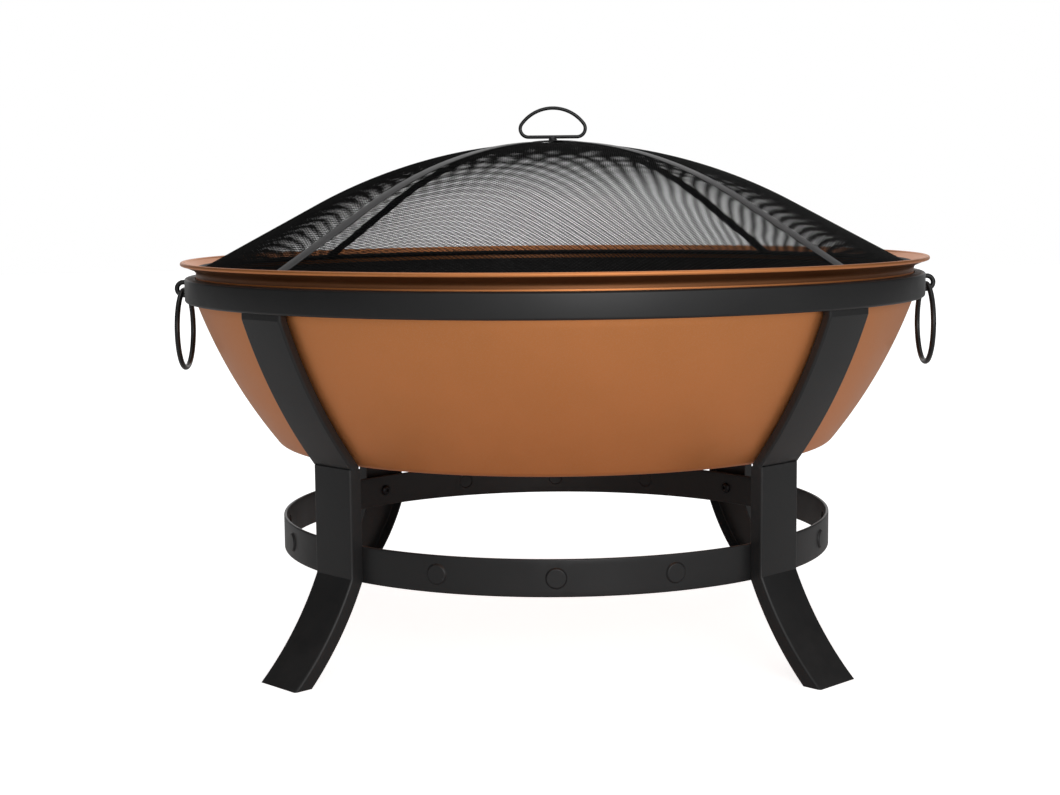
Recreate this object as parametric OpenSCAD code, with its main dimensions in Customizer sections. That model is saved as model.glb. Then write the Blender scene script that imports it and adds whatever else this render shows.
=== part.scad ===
// Round steel fire pit on four legs, with a lift-out bowl, a log grate and a domed spark screen.
// Millimetres, +Z up, standing on z = 0 with the vertical axis through the origin; the front is -Y.

/* [Bowl] */
// Outside diameter over the rolled rim
rim_d = 762; // [640:1:900]
// Width of the flared rim outside the neck, seen from above
flare_w = 15.5; // [12:0.5:30]
// Slope of the flared rim above horizontal
flare_slope = 27; // [10:1:40]
// Diameter of the rolled bead along the rim
bead_d = 4; // [3:0.5:8]
// Bend radius under the flare
flare_bend_r = 5; // [3:0.5:8]
// Height of the straight neck between wall and flare
neck_h = 28.5; // [26:0.5:60]
// Radius of the curved wall, seen from the side
wall_arc_r = 500; // [420:5:800]
// Lean of the wall from vertical, just under the neck
wall_lean = 19.5; // [10:0.5:25]
// Height of the curved wall from the base to the neck
wall_h = 145.7; // [100:1:170]
// Radius of the corner between wall and base
base_corner_r = 12; // [8:1:25]
// Sheet thickness of the bowl
bowl_t = 1.2; // [0.8:0.1:3]

/* [Stand] */
// Height of the bowl's base above the ground
base_z = 198; // [170:1:260]
// Height of the support band
band_h = 24; // [16:1:25]
// Thickness of the support band and of its top flange
band_t = 3; // [2:0.5:5]
// Gap between the bowl's flare and the top of the band
band_drop = 3.5; // [2:0.5:6]
// Rounding of the band's outer edges
band_edge_r = 2.4; // [0.5:0.1:4]
// Width of the lower legs
leg_w = 54; // [40:1:70]
// How much wider the upper legs are than the lower legs
leg_step = 4.5; // [0:0.5:8]
// Sheet thickness of the legs
leg_t = 1.5; // [1:0.1:3]
// Depth of the upper legs' channel
upper_leg_depth = 8.2; // [6:0.1:14]
// Depth of the lower legs' channel
lower_leg_depth = 13.4; // [11:0.1:24]
// How far below the bowl's base the two leg pieces meet
seam_drop = 1; // [0:0.5:20]
// Length of the upper leg's tongue inside the lower leg
tongue_l = 62; // [50:1:66]
// Height above the ground where the foot starts to curve outward
kink_z = 94; // [70:1:110]
// Lean of the foot from vertical, just under the kink
kink_lean = 24.3; // [10:0.5:35]
// Radius of the foot's curve
foot_arc_r = 290; // [240:5:500]

/* [Lower ring] */
// Height of the ring strip
ring_h = 35; // [25:1:38]
// Thickness of the ring strip
ring_t = 3; // [2:0.5:5]
// Bottom edge of the ring above the ground
ring_z = 89; // [70:1:92]
// Diameter of the round embossed studs
emboss_d = 19.5; // [10:0.5:24]
// How far the studs stand out of the ring
emboss_h = 1.8; // [0.5:0.1:3]
// Places around the ring, legs included
emboss_places = 16; // [8:8:24]

/* [Ring handles] */
// Diameter of the handle rings' wire
handle_wire_d = 5.5; // [4:0.5:8]
// Diameter of the handle rings, to the middle of the wire
handle_ring_d = 81; // [60:1:95]
// Diameter of the staples' wire
staple_wire_d = 5; // [4:0.5:8]
// How far the staples stand out of the band
staple_reach = 18.4; // [16:0.2:26]
// Height of the staples' middle above the band's bottom edge
staple_rise = 9.6; // [9:0.1:14]

/* [Spark screen] */
// Thickness of the expanded mesh
mesh_t = 1.2; // [0.8:0.1:3]
// Radius of the domed middle
dome_r = 513; // [440:1:700]
// Slope of the straight skirt around the dome
skirt_slope = 28.3; // [20:0.1:36]
// Diameter of the hoop's wire
hoop_wire_d = 5; // [4:0.5:8]
// How far the hoop's outer edge reaches over the neck's bore
hoop_overlap = 1.2; // [0.6:0.1:4]
// Width of the rib strips
rib_w = 15; // [8:0.5:25]
// Thickness of the rib strips
rib_t = 1; // [0.8:0.1:3]
// Azimuth of the lower rib strip
rib_turn = 46; // [0:1:90]
// Angle between the two rib strips
rib_cross = 91; // [60:1:120]

/* [Screen handle] */
// Diameter of the handle's rod
loop_rod_d = 3.6; // [3:0.1:8]
// Outside width of the handle
loop_w = 70.6; // [60:0.5:120]
// Outside height of the handle
loop_h = 33; // [28:0.5:60]
// Corner radius of the handle, to the middle of the rod
loop_corner_r = 8.5; // [5:0.5:10]
// Diameter of the boss under the handle
boss_d = 8.6; // [8:0.1:16]
// Visible height of the boss
boss_h = 1.6; // [1:0.1:10]

/* [Grate] */
// Diameter of the grate, to the middle of its hoop
grate_d = 460; // [300:5:500]
// Diameter of the grate's rods
grate_rod_d = 8; // [5:0.5:12]
// Height of the grate's feet
grate_foot_h = 42; // [20:1:50]
// Number of parallel bars
grate_bars_n = 9; // [5:1:9]
// Distance between bars
grate_pitch = 46; // [30:1:50]

/* [Fasteners] */
// Thread diameter of the leg and ring fasteners
thread_d = 6; // [5:1:6]
// Width of the nuts across flats
nut_w = 10; // [8:0.5:10]
// Thickness of the nuts
nut_h = 5; // [4:0.5:5]
// Diameter of the washers and bolt heads
washer_d = 12; // [11:0.5:16]
// Thickness of the washers
washer_t = 1.2; // [0.8:0.1:2]
// Thread diameter of the screen handle's screw
handle_thread_d = 5; // [4:0.5:6]

/* [Clearances] */
// Gap between the bowl and everything that carries it
seat_gap = 0.4; // [0.3:0.1:1]
// Gap between parts that lift or swing and what they rest on
rest_gap = 0.3; // [0.3:0.1:1]
// Sideways play of the tongue in the lower leg, each side
tongue_gap = 0.1; // [0.05:0.05:0.5]
// Radial clearance of thread and pin in their bores
thread_gap = 0.05; // [0.02:0.01:0.1]

/* [Hidden] */
$fn = 180;
FULL_TURN = 360;
FAR = 2000;

steel_black = [0.13, 0.13, 0.135];
steel_grey = [0.32, 0.32, 0.33];
copper = [0.65, 0.41, 0.26];

// Azimuths of the legs: front left, front right, back right, back left.
LEG_TURNS = [225, 315, 45, 135];

// Bowl: the wall is an arc about a point behind the axis; the corner arc is tangent to it and to the base.
rim_r = rim_d / 2;
neck_r = rim_r - flare_w;
wall_top_z = base_z + wall_h;
arc_x = neck_r - wall_arc_r * cos(wall_lean);
arc_z = wall_top_z + wall_arc_r * sin(wall_lean);
corner_z = base_z + base_corner_r;
corner_x = arc_x + sqrt(pow(wall_arc_r - base_corner_r, 2) - pow(arc_z - corner_z, 2));
corner_turn = atan2(corner_z - arc_z, corner_x - arc_x);
bend_x = neck_r + flare_bend_r;
bend_z = wall_top_z + neck_h;
flare_turn = 90 + flare_slope;
bead_r = bead_d / 2;
flare_x = bend_x + (flare_bend_r + bowl_t / 2) * cos(flare_turn);
flare_z = bend_z + (flare_bend_r + bowl_t / 2) * sin(flare_turn);
flare_end_x = rim_r - bead_r;
flare_end_z = flare_z + (flare_end_x - flare_x) * tan(flare_slope);

// Upper legs: concentric with the wall; their flanges' edges carry the bowl. A narrower tongue goes on below.
upper_face_r = wall_arc_r + seat_gap + upper_leg_depth;
upper_w = leg_w + leg_step;
tongue_w = leg_w - 2 * leg_t - 2 * tongue_gap;
seam_z = base_z - seam_drop;
seam_turn = -asin((arc_z - seam_z) / upper_face_r);
tongue_x = arc_x + upper_face_r * cos(seam_turn);

// Support band: its bore touches the corners of the upper legs' tops; its flange turns in under the rim.
band_r = neck_r + seat_gap + upper_leg_depth + band_t;
upper_top_x = sqrt(pow(band_r - band_t, 2) - pow(upper_w / 2, 2));
band_top = bend_z - band_drop;
band_z = band_top - band_h;
band_bore_r = neck_r + 2 * seat_gap;

// Lower legs and the ring between them: the ring touches the flanges' inner corners.
lower_x = tongue_x + leg_t;
flange_x = lower_x - lower_leg_depth;
foot_x = lower_x + foot_arc_r * cos(kink_lean);
foot_z = kink_z + foot_arc_r * sin(kink_lean);
ring_r = sqrt(pow(flange_x, 2) + pow(leg_w / 2 - leg_t, 2));
ring_mid_z = ring_z + ring_h / 2;
bridge_t = 2.5;
bridge_h = 28;
bridge_x = ring_r + tongue_gap;

thread_r = thread_d / 2;
bore_r = thread_r + thread_gap;
stud_inset = 17;
stud_pitch = 28;
head_h = 3.6;
stud_end_x = tongue_x - leg_t - washer_t - nut_h - 1.5;
bolt_end_x = bridge_x + bridge_t + nut_h + 0.8;

// Ring handles: each hangs in the lower bend of its staple.
staple_r = (handle_wire_d + staple_wire_d) / 2 + 1.5;
staple_x = band_r + staple_reach - staple_wire_d / 2 - staple_r;
staple_z = band_z + staple_rise;
pivot_x = staple_x - 0.75;
pivot_z = staple_z - staple_r + (staple_wire_d + handle_wire_d) / 2 + rest_gap;

// Screen: the hoop rests on the bend between neck and flare; the skirt meets the hoop's inner side.
hoop_wire_r = hoop_wire_d / 2;
hoop_r = neck_r - bowl_t + hoop_overlap - hoop_wire_r;
hoop_reach = flare_bend_r + bowl_t + rest_gap + hoop_wire_r;
hoop_z = bend_z + sqrt(pow(hoop_reach, 2) - pow(bend_x - hoop_r, 2));
skirt_x = hoop_r - hoop_wire_r;
dome_edge_x = dome_r * sin(skirt_slope);
dome_edge_z = hoop_z + (skirt_x - dome_edge_x) * tan(skirt_slope);
dome_z = dome_edge_z - dome_r * cos(skirt_slope);
apex_z = dome_z + dome_r;
rib_sag = pow(rib_w / 2, 2) / (2 * dome_r);
rib_top_z = apex_z + 2 * rib_t + rib_sag;

// Screen handle: a rod bent to a D, with the top arc tangent to both corner arcs.
loop_rod_r = loop_rod_d / 2;
loop_base_z = rib_top_z + boss_h + loop_rod_r;
loop_corner_x = loop_w / 2 - loop_rod_r - loop_corner_r;
loop_rise = loop_h - loop_rod_d;
loop_lift = loop_rise - loop_corner_r;
loop_top_r = (pow(loop_corner_x, 2) + pow(loop_lift, 2) - pow(loop_corner_r, 2)) / (2 * (loop_lift - loop_corner_r));
loop_top_z = loop_base_z + loop_rise - loop_top_r;
loop_turn = atan2(loop_base_z + loop_corner_r - loop_top_z, loop_corner_x);
clamp_d = 26;
clamp_t = 1.5;

// Grate: hoop and cross rods in one layer, bars on top, feet underneath.
grate_rod_r = grate_rod_d / 2;
grate_r = grate_d / 2;
grate_foot_z = base_z + bowl_t + rest_gap;
grate_hoop_z = grate_foot_z + grate_foot_h;
grate_bar_z = grate_hoop_z + grate_rod_d;

// Ring sector in the plane: outer radius r, thickness t, from angle a to angle b (under 180 degrees apart).
module arc_strip(r, t, a, b) {
    reach = 2 * r;
    intersection() {
        difference() {
            circle(r);
            circle(r - t);
        }
        polygon([
            [0, 0],
            [reach * cos(a), reach * sin(a)],
            [reach * cos((a + b) / 2), reach * sin((a + b) / 2)],
            [reach * cos(b), reach * sin(b)]
        ]);
    }
}

// Round rod along +X from x0 to x1 at height z.
module rod_x(x0, x1, z, r) {
    translate([x0, 0, z])
        rotate([0, 90, 0])
            cylinder(r = r, h = x1 - x0);
}

// Ring of round wire about Z.
module wire_hoop(r, wire_r, z) {
    translate([0, 0, z])
        rotate_extrude()
            translate([r, 0])
                circle(wire_r, $fn = 48);
}

// Wire bent to an arc in the XZ plane, from angle a over sweep s.
module wire_arc(x, z, r, wire_r, a, s) {
    translate([x, 0, z])
        rotate([90, 0, 0])
            rotate([0, 0, a])
                rotate_extrude(angle = s)
                    translate([r, 0])
                        circle(wire_r, $fn = 48);
}

module at_leg(turn) {
    rotate([0, 0, turn])
        children();
}

// ---- bowl ----

// Points along an arc about (x, z), from angle a to angle b in n steps.
function arc_points(x, z, r, a, b, n) = [
    for (i = [0 : n])
        let (turn = a + (b - a) * i / n)
            [x + r * cos(turn), z + r * sin(turn)]
];

// One face of the bowl's sheet from the axis to the bead, at depth d inside the outer face.
function bowl_face(d) = concat(
    [[0, base_z + d]],
    arc_points(corner_x, corner_z, base_corner_r - d, -90, corner_turn, 8),
    arc_points(arc_x, arc_z, wall_arc_r - d, corner_turn + 1, -wall_lean, 18),
    arc_points(bend_x, bend_z, flare_bend_r + d, 180, flare_turn, 8),
    [[
        flare_end_x - (d - bowl_t / 2) * sin(flare_slope),
        flare_end_z + (d - bowl_t / 2) * cos(flare_slope)
    ]]
);

function reversed(points) = [for (i = [len(points) - 1 : -1 : 0]) points[i]];

module bowl_section() {
    polygon(concat(bowl_face(0), reversed(bowl_face(bowl_t))));
    translate([flare_end_x, flare_end_z])
        circle(bead_r, $fn = 48);
}

module bowl() {
    color(copper)
        rotate_extrude()
            bowl_section();
}

// ---- support band ----

module support_band() {
    color(steel_black)
        rotate_extrude()
            difference() {
                union() {
                    translate([band_r - band_t, band_z + band_edge_r])
                        square([band_t, band_h - 2 * band_edge_r]);
                    translate([band_r - band_t, band_z])
                        square([band_t - band_edge_r, band_edge_r]);
                    translate([band_r - band_edge_r, band_z + band_edge_r])
                        circle(band_edge_r, $fn = 48);
                    translate([band_r - band_edge_r, band_top - band_edge_r])
                        circle(band_edge_r, $fn = 48);
                    translate([band_bore_r, band_top - band_t])
                        square([band_r - band_bore_r - band_edge_r, band_t]);
                }
                translate([0, band_z - band_t])
                    square([band_r - band_t, band_h]);
            }
}

// ---- legs ----

// Side view of a C-channel bent from sheet: web from web_outline, side flanges from side_outline.
module channel(w) {
    rotate([90, 0, 0]) {
        linear_extrude(w, center = true)
            children(0);
        for (side = [-1, 1])
            translate([0, 0, side * (w - leg_t) / 2])
                linear_extrude(leg_t, center = true)
                    children(1);
    }
}

// Side view of all that lies deeper than d behind the upper leg's outer face.
module behind_upper_leg(d) {
    intersection() {
        union() {
            translate([0, seam_z - tongue_l - 1])
                square([tongue_x - d, FAR]);
            translate([arc_x, arc_z])
                circle(upper_face_r - d);
        }
        translate([0, seam_z - tongue_l - 1])
            square([upper_top_x - d, FAR]);
    }
}

// Side view of the upper leg to a depth behind its outer face, between two heights.
module upper_leg_outline(depth, bottom, top) {
    intersection() {
        difference() {
            behind_upper_leg(0);
            behind_upper_leg(depth);
        }
        translate([tongue_x / 2, bottom])
            square([upper_top_x, top - bottom]);
    }
}

// The two stud places of a leg joint.
function stud_z(i) = seam_z - stud_inset - i * stud_pitch;

module upper_leg(turn) {
    color(steel_black)
        at_leg(turn)
            difference() {
                union() {
                    channel(upper_w) {
                        upper_leg_outline(leg_t, seam_z, band_top - band_t);
                        upper_leg_outline(upper_leg_depth, seam_z, band_top - band_t);
                    }
                    channel(tongue_w) {
                        upper_leg_outline(leg_t, seam_z - tongue_l, seam_z);
                        upper_leg_outline(upper_leg_depth, seam_z - tongue_l, seam_z);
                    }
                }
                for (i = [0, 1])
                    rod_x(tongue_x - upper_leg_depth, tongue_x + leg_t, stud_z(i), bore_r);
            }
}

// Side view of all that lies deeper than d behind the lower leg's outer face.
module behind_lower_leg(d) {
    translate([0, -1])
        square([lower_x - d, FAR]);
    difference() {
        translate([0, -1])
            square([foot_x, kink_z + 1]);
        translate([foot_x, foot_z])
            circle(foot_arc_r + d);
    }
}

module lower_leg_outline(depth) {
    intersection() {
        difference() {
            behind_lower_leg(0);
            behind_lower_leg(depth);
        }
        translate([lower_x / 2, 0])
            square([foot_x, seam_z]);
    }
}

module lower_leg(turn) {
    color(steel_black)
        at_leg(turn)
            channel(leg_w) {
                lower_leg_outline(leg_t);
                lower_leg_outline(lower_leg_depth);
            }
}

module leg_weld_studs() {
    color(steel_grey)
        for (turn = LEG_TURNS)
            at_leg(turn)
                for (i = [0, 1])
                    rod_x(stud_end_x, lower_x - leg_t, stud_z(i), thread_r);
}

module leg_washers() {
    color(steel_grey)
        for (turn = LEG_TURNS)
            at_leg(turn)
                for (i = [0, 1])
                    difference() {
                        rod_x(tongue_x - leg_t - washer_t, tongue_x - leg_t, stud_z(i), washer_d / 2);
                        rod_x(tongue_x - leg_t - washer_t - 1, tongue_x, stud_z(i), bore_r);
                    }
}

// Hexagon nut on an X-wise thread, from x to x + nut_h.
module nut_x(x, z) {
    difference() {
        translate([x, 0, z])
            rotate([0, 90, 0])
                cylinder(r = nut_w / 2 / cos(30), h = nut_h, $fn = 6);
        rod_x(x - 1, x + nut_h + 1, z, bore_r);
    }
}

module leg_nuts() {
    color(steel_grey)
        for (turn = LEG_TURNS)
            at_leg(turn)
                for (i = [0, 1])
                    nut_x(tongue_x - leg_t - washer_t - nut_h, stud_z(i));
}

// ---- lower ring ----

module bridge_plate(turn) {
    color(steel_black)
        at_leg(turn)
            difference() {
                translate([bridge_x, -leg_w / 2 + leg_t, ring_mid_z - bridge_h / 2])
                    cube([bridge_t, leg_w - 2 * leg_t, bridge_h]);
                rod_x(bridge_x - 1, bridge_x + bridge_t + 1, ring_mid_z, bore_r);
            }
}

// Pressed round stud: a short cylinder with a bevelled edge, hollow behind.
module emboss(r, h) {
    bevel = h / 2;
    translate([ring_r - ring_t / 2, 0, ring_mid_z])
        rotate([0, 90, 0]) {
            cylinder(r = r, h = ring_t / 2 + h - bevel);
            translate([0, 0, ring_t / 2 + h - bevel])
                cylinder(r1 = r, r2 = r - bevel, h = bevel);
        }
}

module lower_ring() {
    leg_step = emboss_places / len(LEG_TURNS);
    color(steel_black)
        difference() {
            union() {
                translate([0, 0, ring_z])
                    difference() {
                        cylinder(r = ring_r, h = ring_h);
                        translate([0, 0, -1])
                            cylinder(r = ring_r - ring_t, h = ring_h + 2);
                    }
                for (i = [0 : emboss_places - 1])
                    if (i % leg_step != leg_step / 2)
                        at_leg(i * FULL_TURN / emboss_places)
                            emboss(emboss_d / 2, emboss_h);
            }
            for (i = [0 : emboss_places - 1])
                if (i % leg_step != leg_step / 2)
                    at_leg(i * FULL_TURN / emboss_places)
                        rod_x(ring_r - ring_t - 4, ring_r - ring_t + emboss_h, ring_mid_z, emboss_d / 2 - ring_t / 2);
            for (turn = LEG_TURNS)
                at_leg(turn)
                    rod_x(ring_r - 2 * ring_t, ring_r + 1, ring_mid_z, bore_r);
        }
}

module ring_bolts() {
    head_x = sqrt(pow(ring_r - ring_t, 2) - pow(washer_d / 2, 2));
    color(steel_grey)
        for (turn = LEG_TURNS)
            at_leg(turn) {
                rod_x(head_x - head_h / 2, head_x, ring_mid_z, washer_d / 2);
                translate([head_x - head_h / 2, 0, ring_mid_z])
                    rotate([0, -90, 0])
                        cylinder(r1 = washer_d / 2, r2 = washer_d / 2 - head_h / 2, h = head_h / 2);
                rod_x(head_x - head_h / 2, bolt_end_x, ring_mid_z, thread_r);
            }
}

module ring_nuts() {
    color(steel_grey)
        for (turn = LEG_TURNS)
            at_leg(turn)
                nut_x(bridge_x + bridge_t, ring_mid_z);
}

// ---- ring handles ----

module staple() {
    wire_r = staple_wire_d / 2;
    color(steel_black) {
        for (side = [-1, 1])
            rod_x(band_r, staple_x, staple_z + side * staple_r, wire_r);
        wire_arc(staple_x, staple_z, staple_r, wire_r, -90, 180);
    }
}

module ring_handle() {
    color(steel_black)
        translate([pivot_x, 0, pivot_z - handle_ring_d / 2])
            rotate([0, 90, 0])
                wire_hoop(handle_ring_d / 2, handle_wire_d / 2, 0);
}

// ---- log grate ----

module grate_hoop() {
    color(steel_black)
        wire_hoop(grate_r, grate_rod_r, grate_hoop_z);
}

module grate_bars() {
    color(steel_black)
        for (i = [0 : grate_bars_n - 1]) {
            x = (i - (grate_bars_n - 1) / 2) * grate_pitch;
            half = sqrt(pow(grate_r, 2) - pow(x, 2));
            translate([x, 0, 0])
                rotate([0, 0, 90])
                    rod_x(-half, half, grate_bar_z, grate_rod_r);
        }
}

module grate_cross_rods() {
    color(steel_black)
        for (side = [-1, 1]) {
            y = side * grate_r / 2;
            half = sqrt(pow(grate_r - grate_rod_r, 2) - pow(abs(y) + grate_rod_r, 2));
            translate([0, y, 0])
                rod_x(-half, half, grate_hoop_z, grate_rod_r);
        }
}

module grate_feet() {
    color(steel_black)
        for (turn = LEG_TURNS)
            at_leg(turn)
                translate([grate_r, 0, grate_foot_z])
                    cylinder(r = grate_rod_r, h = grate_foot_h - grate_rod_r);
}

// ---- spark screen ----

// Half section of a strip of thickness t whose underside stands off the mesh's outer face by lift:
// the straight skirt, and the dome from the skirt's top to azimuth end in the section's plane.
module dome_section(lift, t, end) {
    translate([0, dome_z])
        arc_strip(dome_r + lift + t, t, 90 - skirt_slope, end);
    skirt_section(lift, t);
}

module skirt_section(lift, t) {
    skirt_l = (skirt_x - dome_edge_x) / cos(skirt_slope);
    translate([dome_edge_x, dome_edge_z])
        rotate(-skirt_slope)
            translate([0, lift])
                square([skirt_l - (lift + t) * tan(skirt_slope), t]);
}

module screen_mesh() {
    color(steel_black)
        rotate_extrude()
            intersection() {
                dome_section(-mesh_t, mesh_t, 91);
                translate([handle_thread_d / 2 + thread_gap, 0])
                    square([rim_r, FAR]);
            }
}

module screen_hoop() {
    color(steel_black)
        wire_hoop(hoop_r, hoop_wire_r, hoop_z);
}

// Flat strip over the whole dome, its underside lifted off the mesh by lift, bored for the handle's screw.
module rib(turn, lift) {
    color(steel_grey)
        difference() {
            rotate([90, 0, turn])
                linear_extrude(rib_w, center = true) {
                    dome_section(lift, rib_t, 90 + skirt_slope);
                    mirror([1, 0])
                        skirt_section(lift, rib_t);
                }
            translate([0, 0, dome_z])
                cylinder(r = handle_thread_d / 2 + thread_gap, h = FAR);
        }
}

module rib_lower() {
    rib(rib_turn, 0);
}

module rib_upper() {
    rib(rib_turn + rib_cross, rib_t + rib_sag);
}

module handle_boss() {
    color(steel_black)
        difference() {
            translate([0, 0, rib_top_z])
                cylinder(r = boss_d / 2, h = boss_h + loop_rod_r * 0.4);
            translate([0, 0, rib_top_z - 1])
                cylinder(r = handle_thread_d / 2 + thread_gap, h = boss_h);
            rod_x(-boss_d, boss_d, loop_base_z, loop_rod_r);
        }
}

// Stations along the rod's middle, right corner first: [x, z, direction of the outside].
function loop_stations(x, z, r, a, b, n) = [
    for (i = [0 : n])
        let (turn = a + (b - a) * i / n)
            [x + r * cos(turn), z + r * sin(turn), turn]
];

module handle_loop() {
    sides = 16;
    corner_z = loop_base_z + loop_corner_r;
    top = loop_stations(0, loop_top_z, loop_top_r, loop_turn, 180 - loop_turn, 30);
    path = concat(
        loop_stations(loop_corner_x, corner_z, loop_corner_r, -90, loop_turn, 12),
        [for (i = [1 : len(top) - 2]) top[i]],
        loop_stations(-loop_corner_x, corner_z, loop_corner_r, 180 - loop_turn, 270, 12)
    );
    points = [
        for (at = path)
            for (k = [0 : sides - 1])
                let (out = loop_rod_r * cos(k * FULL_TURN / sides))
                    [at[0] + out * cos(at[2]), loop_rod_r * sin(k * FULL_TURN / sides), at[1] + out * sin(at[2])]
    ];
    faces = [
        for (i = [0 : len(path) - 1])
            for (k = [0 : sides - 1])
                let (j = (i + 1) % len(path), m = (k + 1) % sides)
                    [i * sides + k, i * sides + m, j * sides + m, j * sides + k]
    ];
    color(steel_black)
        polyhedron(points, faces);
}

module handle_washer() {
    under_z = dome_z + sqrt(pow(dome_r - mesh_t, 2) - pow(clamp_d / 2, 2));
    color(steel_grey)
        difference() {
            translate([0, 0, under_z - clamp_t])
                cylinder(r = clamp_d / 2, h = clamp_t);
            translate([0, 0, under_z - clamp_t - 1])
                cylinder(r = handle_thread_d / 2 + thread_gap, h = clamp_t + 2);
        }
}

module handle_screw() {
    under_z = dome_z + sqrt(pow(dome_r - mesh_t, 2) - pow(clamp_d / 2, 2)) - clamp_t;
    color(steel_grey) {
        translate([0, 0, under_z - head_h])
            cylinder(r1 = handle_thread_d / 2 + 1, r2 = handle_thread_d, h = head_h / 2);
        translate([0, 0, under_z - head_h / 2])
            cylinder(r = handle_thread_d, h = head_h / 2);
        translate([0, 0, under_z - head_h / 2])
            cylinder(r = handle_thread_d / 2, h = rib_top_z + boss_h - 1.2 - under_z + head_h / 2);
    }
}

support_band();
upper_leg(LEG_TURNS[0]);  // upper_leg_front_left
upper_leg(LEG_TURNS[1]);  // upper_leg_front_right
upper_leg(LEG_TURNS[2]);  // upper_leg_back_right
upper_leg(LEG_TURNS[3]);  // upper_leg_back_left
lower_leg(LEG_TURNS[0]);  // lower_leg_front_left
lower_leg(LEG_TURNS[1]);  // lower_leg_front_right
lower_leg(LEG_TURNS[2]);  // lower_leg_back_right
lower_leg(LEG_TURNS[3]);  // lower_leg_back_left
bridge_plate(LEG_TURNS[0]);  // bridge_plate_front_left
bridge_plate(LEG_TURNS[1]);  // bridge_plate_front_right
bridge_plate(LEG_TURNS[2]);  // bridge_plate_back_right
bridge_plate(LEG_TURNS[3]);  // bridge_plate_back_left
leg_weld_studs();
leg_washers();
leg_nuts();
lower_ring();
ring_bolts();
ring_nuts();
mirror([1, 0, 0]) staple();  // staple_left
staple();  // staple_right
mirror([1, 0, 0]) ring_handle();  // ring_handle_left
ring_handle();  // ring_handle_right
bowl();
grate_hoop();
grate_bars();
grate_cross_rods();
grate_feet();
screen_hoop();
screen_mesh();
rib_lower();
rib_upper();
handle_boss();
handle_loop();
handle_washer();
handle_screw();
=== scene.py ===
"""Steel fire pit on four legs, made piece by piece in the order in which it goes together. Metres."""

import math

import bmesh
import bpy
import numpy as np
from mathutils import Matrix, Vector


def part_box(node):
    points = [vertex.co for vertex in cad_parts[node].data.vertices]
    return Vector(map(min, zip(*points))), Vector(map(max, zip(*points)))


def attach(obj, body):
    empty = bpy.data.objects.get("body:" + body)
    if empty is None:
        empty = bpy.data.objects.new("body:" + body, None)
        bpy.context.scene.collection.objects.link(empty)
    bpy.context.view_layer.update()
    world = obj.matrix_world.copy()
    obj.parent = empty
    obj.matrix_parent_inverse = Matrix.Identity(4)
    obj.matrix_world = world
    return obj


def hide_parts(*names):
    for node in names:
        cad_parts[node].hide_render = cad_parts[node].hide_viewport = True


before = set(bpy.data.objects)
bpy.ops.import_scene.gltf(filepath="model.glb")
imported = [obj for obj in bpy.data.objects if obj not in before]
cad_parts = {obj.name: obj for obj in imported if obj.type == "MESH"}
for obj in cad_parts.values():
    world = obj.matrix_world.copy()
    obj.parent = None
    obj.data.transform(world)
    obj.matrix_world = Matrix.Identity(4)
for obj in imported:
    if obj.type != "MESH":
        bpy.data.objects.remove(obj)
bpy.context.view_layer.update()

# ---- lower legs ----
# Four C-channels of 1.5 mm steel, upright where they take the upper legs and curved outward to a
# foot cut flat on the ground. Press-bent, so the long edges are round; powder coated satin black.
MM = 0.001
leg_names = ["front_left", "front_right", "back_right", "back_left"]
leg_turns = dict(zip(leg_names, np.radians([225, 315, 45, 135])))
leg_w = 54 * MM
leg_t = 1.5 * MM
leg_bend_r = 2.4 * MM
lower_leg_depth = 13.4 * MM
kink_z = 94 * MM
kink_lean = math.radians(24.3)
foot_arc_r = 290 * MM
seam_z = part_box("lower_leg_front_left")[1].z


def reach(node, turn):
    """How near the axis and how far from it a CAD node reaches, measured along a leg's direction."""
    corners = np.array([v.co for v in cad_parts[node].data.vertices])
    along = corners[:, 0] * math.cos(turn) + corners[:, 1] * math.sin(turn)
    return along.min(), along.max()


lower_x = reach("lower_leg_front_left", leg_turns["front_left"])[0] + lower_leg_depth
foot_x = lower_x + foot_arc_r * math.cos(kink_lean)
foot_z = kink_z + foot_arc_r * math.sin(kink_lean)


def arc(x, z, r, start, end, steps):
    """Points round (x, z) from one angle to another, in degrees."""
    turns = np.radians(np.linspace(start, end, steps + 1))
    return np.stack([x + r * np.cos(turns), z + r * np.sin(turns)], axis=1)


def channel_section(width, depth, sheet, bend_r):
    """The closed outline of a C-channel: how far sideways, and how deep behind its face."""
    half = width / 2
    ease = 0.3 * MM
    right = np.vstack([
        arc(half - bend_r, bend_r, bend_r, -90, 0, 8),
        [[half, depth - ease], [half - ease, depth]],
        [[half - sheet + ease, depth], [half - sheet, depth - ease]],
        arc(half - bend_r, bend_r, bend_r - sheet, 0, -90, 8),
    ])
    left = right[::-1] * [-1, 1]
    return np.vstack([right, left])


def grid_faces(rows, columns, close_rows=False, close_columns=False):
    """Quads over a grid of points that is stored row by row."""
    faces = []
    for i in range(rows if close_rows else rows - 1):
        below, above = i * columns, (i + 1) % rows * columns
        for j in range(columns if close_columns else columns - 1):
            k = (j + 1) % columns
            faces.append((below + j, below + k, above + k, above + j))
    return faces


def skin(rings, capped=True, closed=False):
    """A surface over rings of points, with a face across each end."""
    rings = [np.asarray(ring, float) for ring in rings]
    count = len(rings[0])
    faces = grid_faces(len(rings), count, closed, True)
    if capped and not closed:
        faces.append(tuple(range(count))[::-1])
        faces.append(tuple(range((len(rings) - 1) * count, len(rings) * count)))
    return np.vstack(rings), faces


def turned(shape, turn):
    """The same shape, turned about the fire pit's axis."""
    points, faces = shape
    c, s = math.cos(turn), math.sin(turn)
    return points @ np.array([[c, s, 0], [-s, c, 0], [0, 0, 1]]), faces


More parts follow.
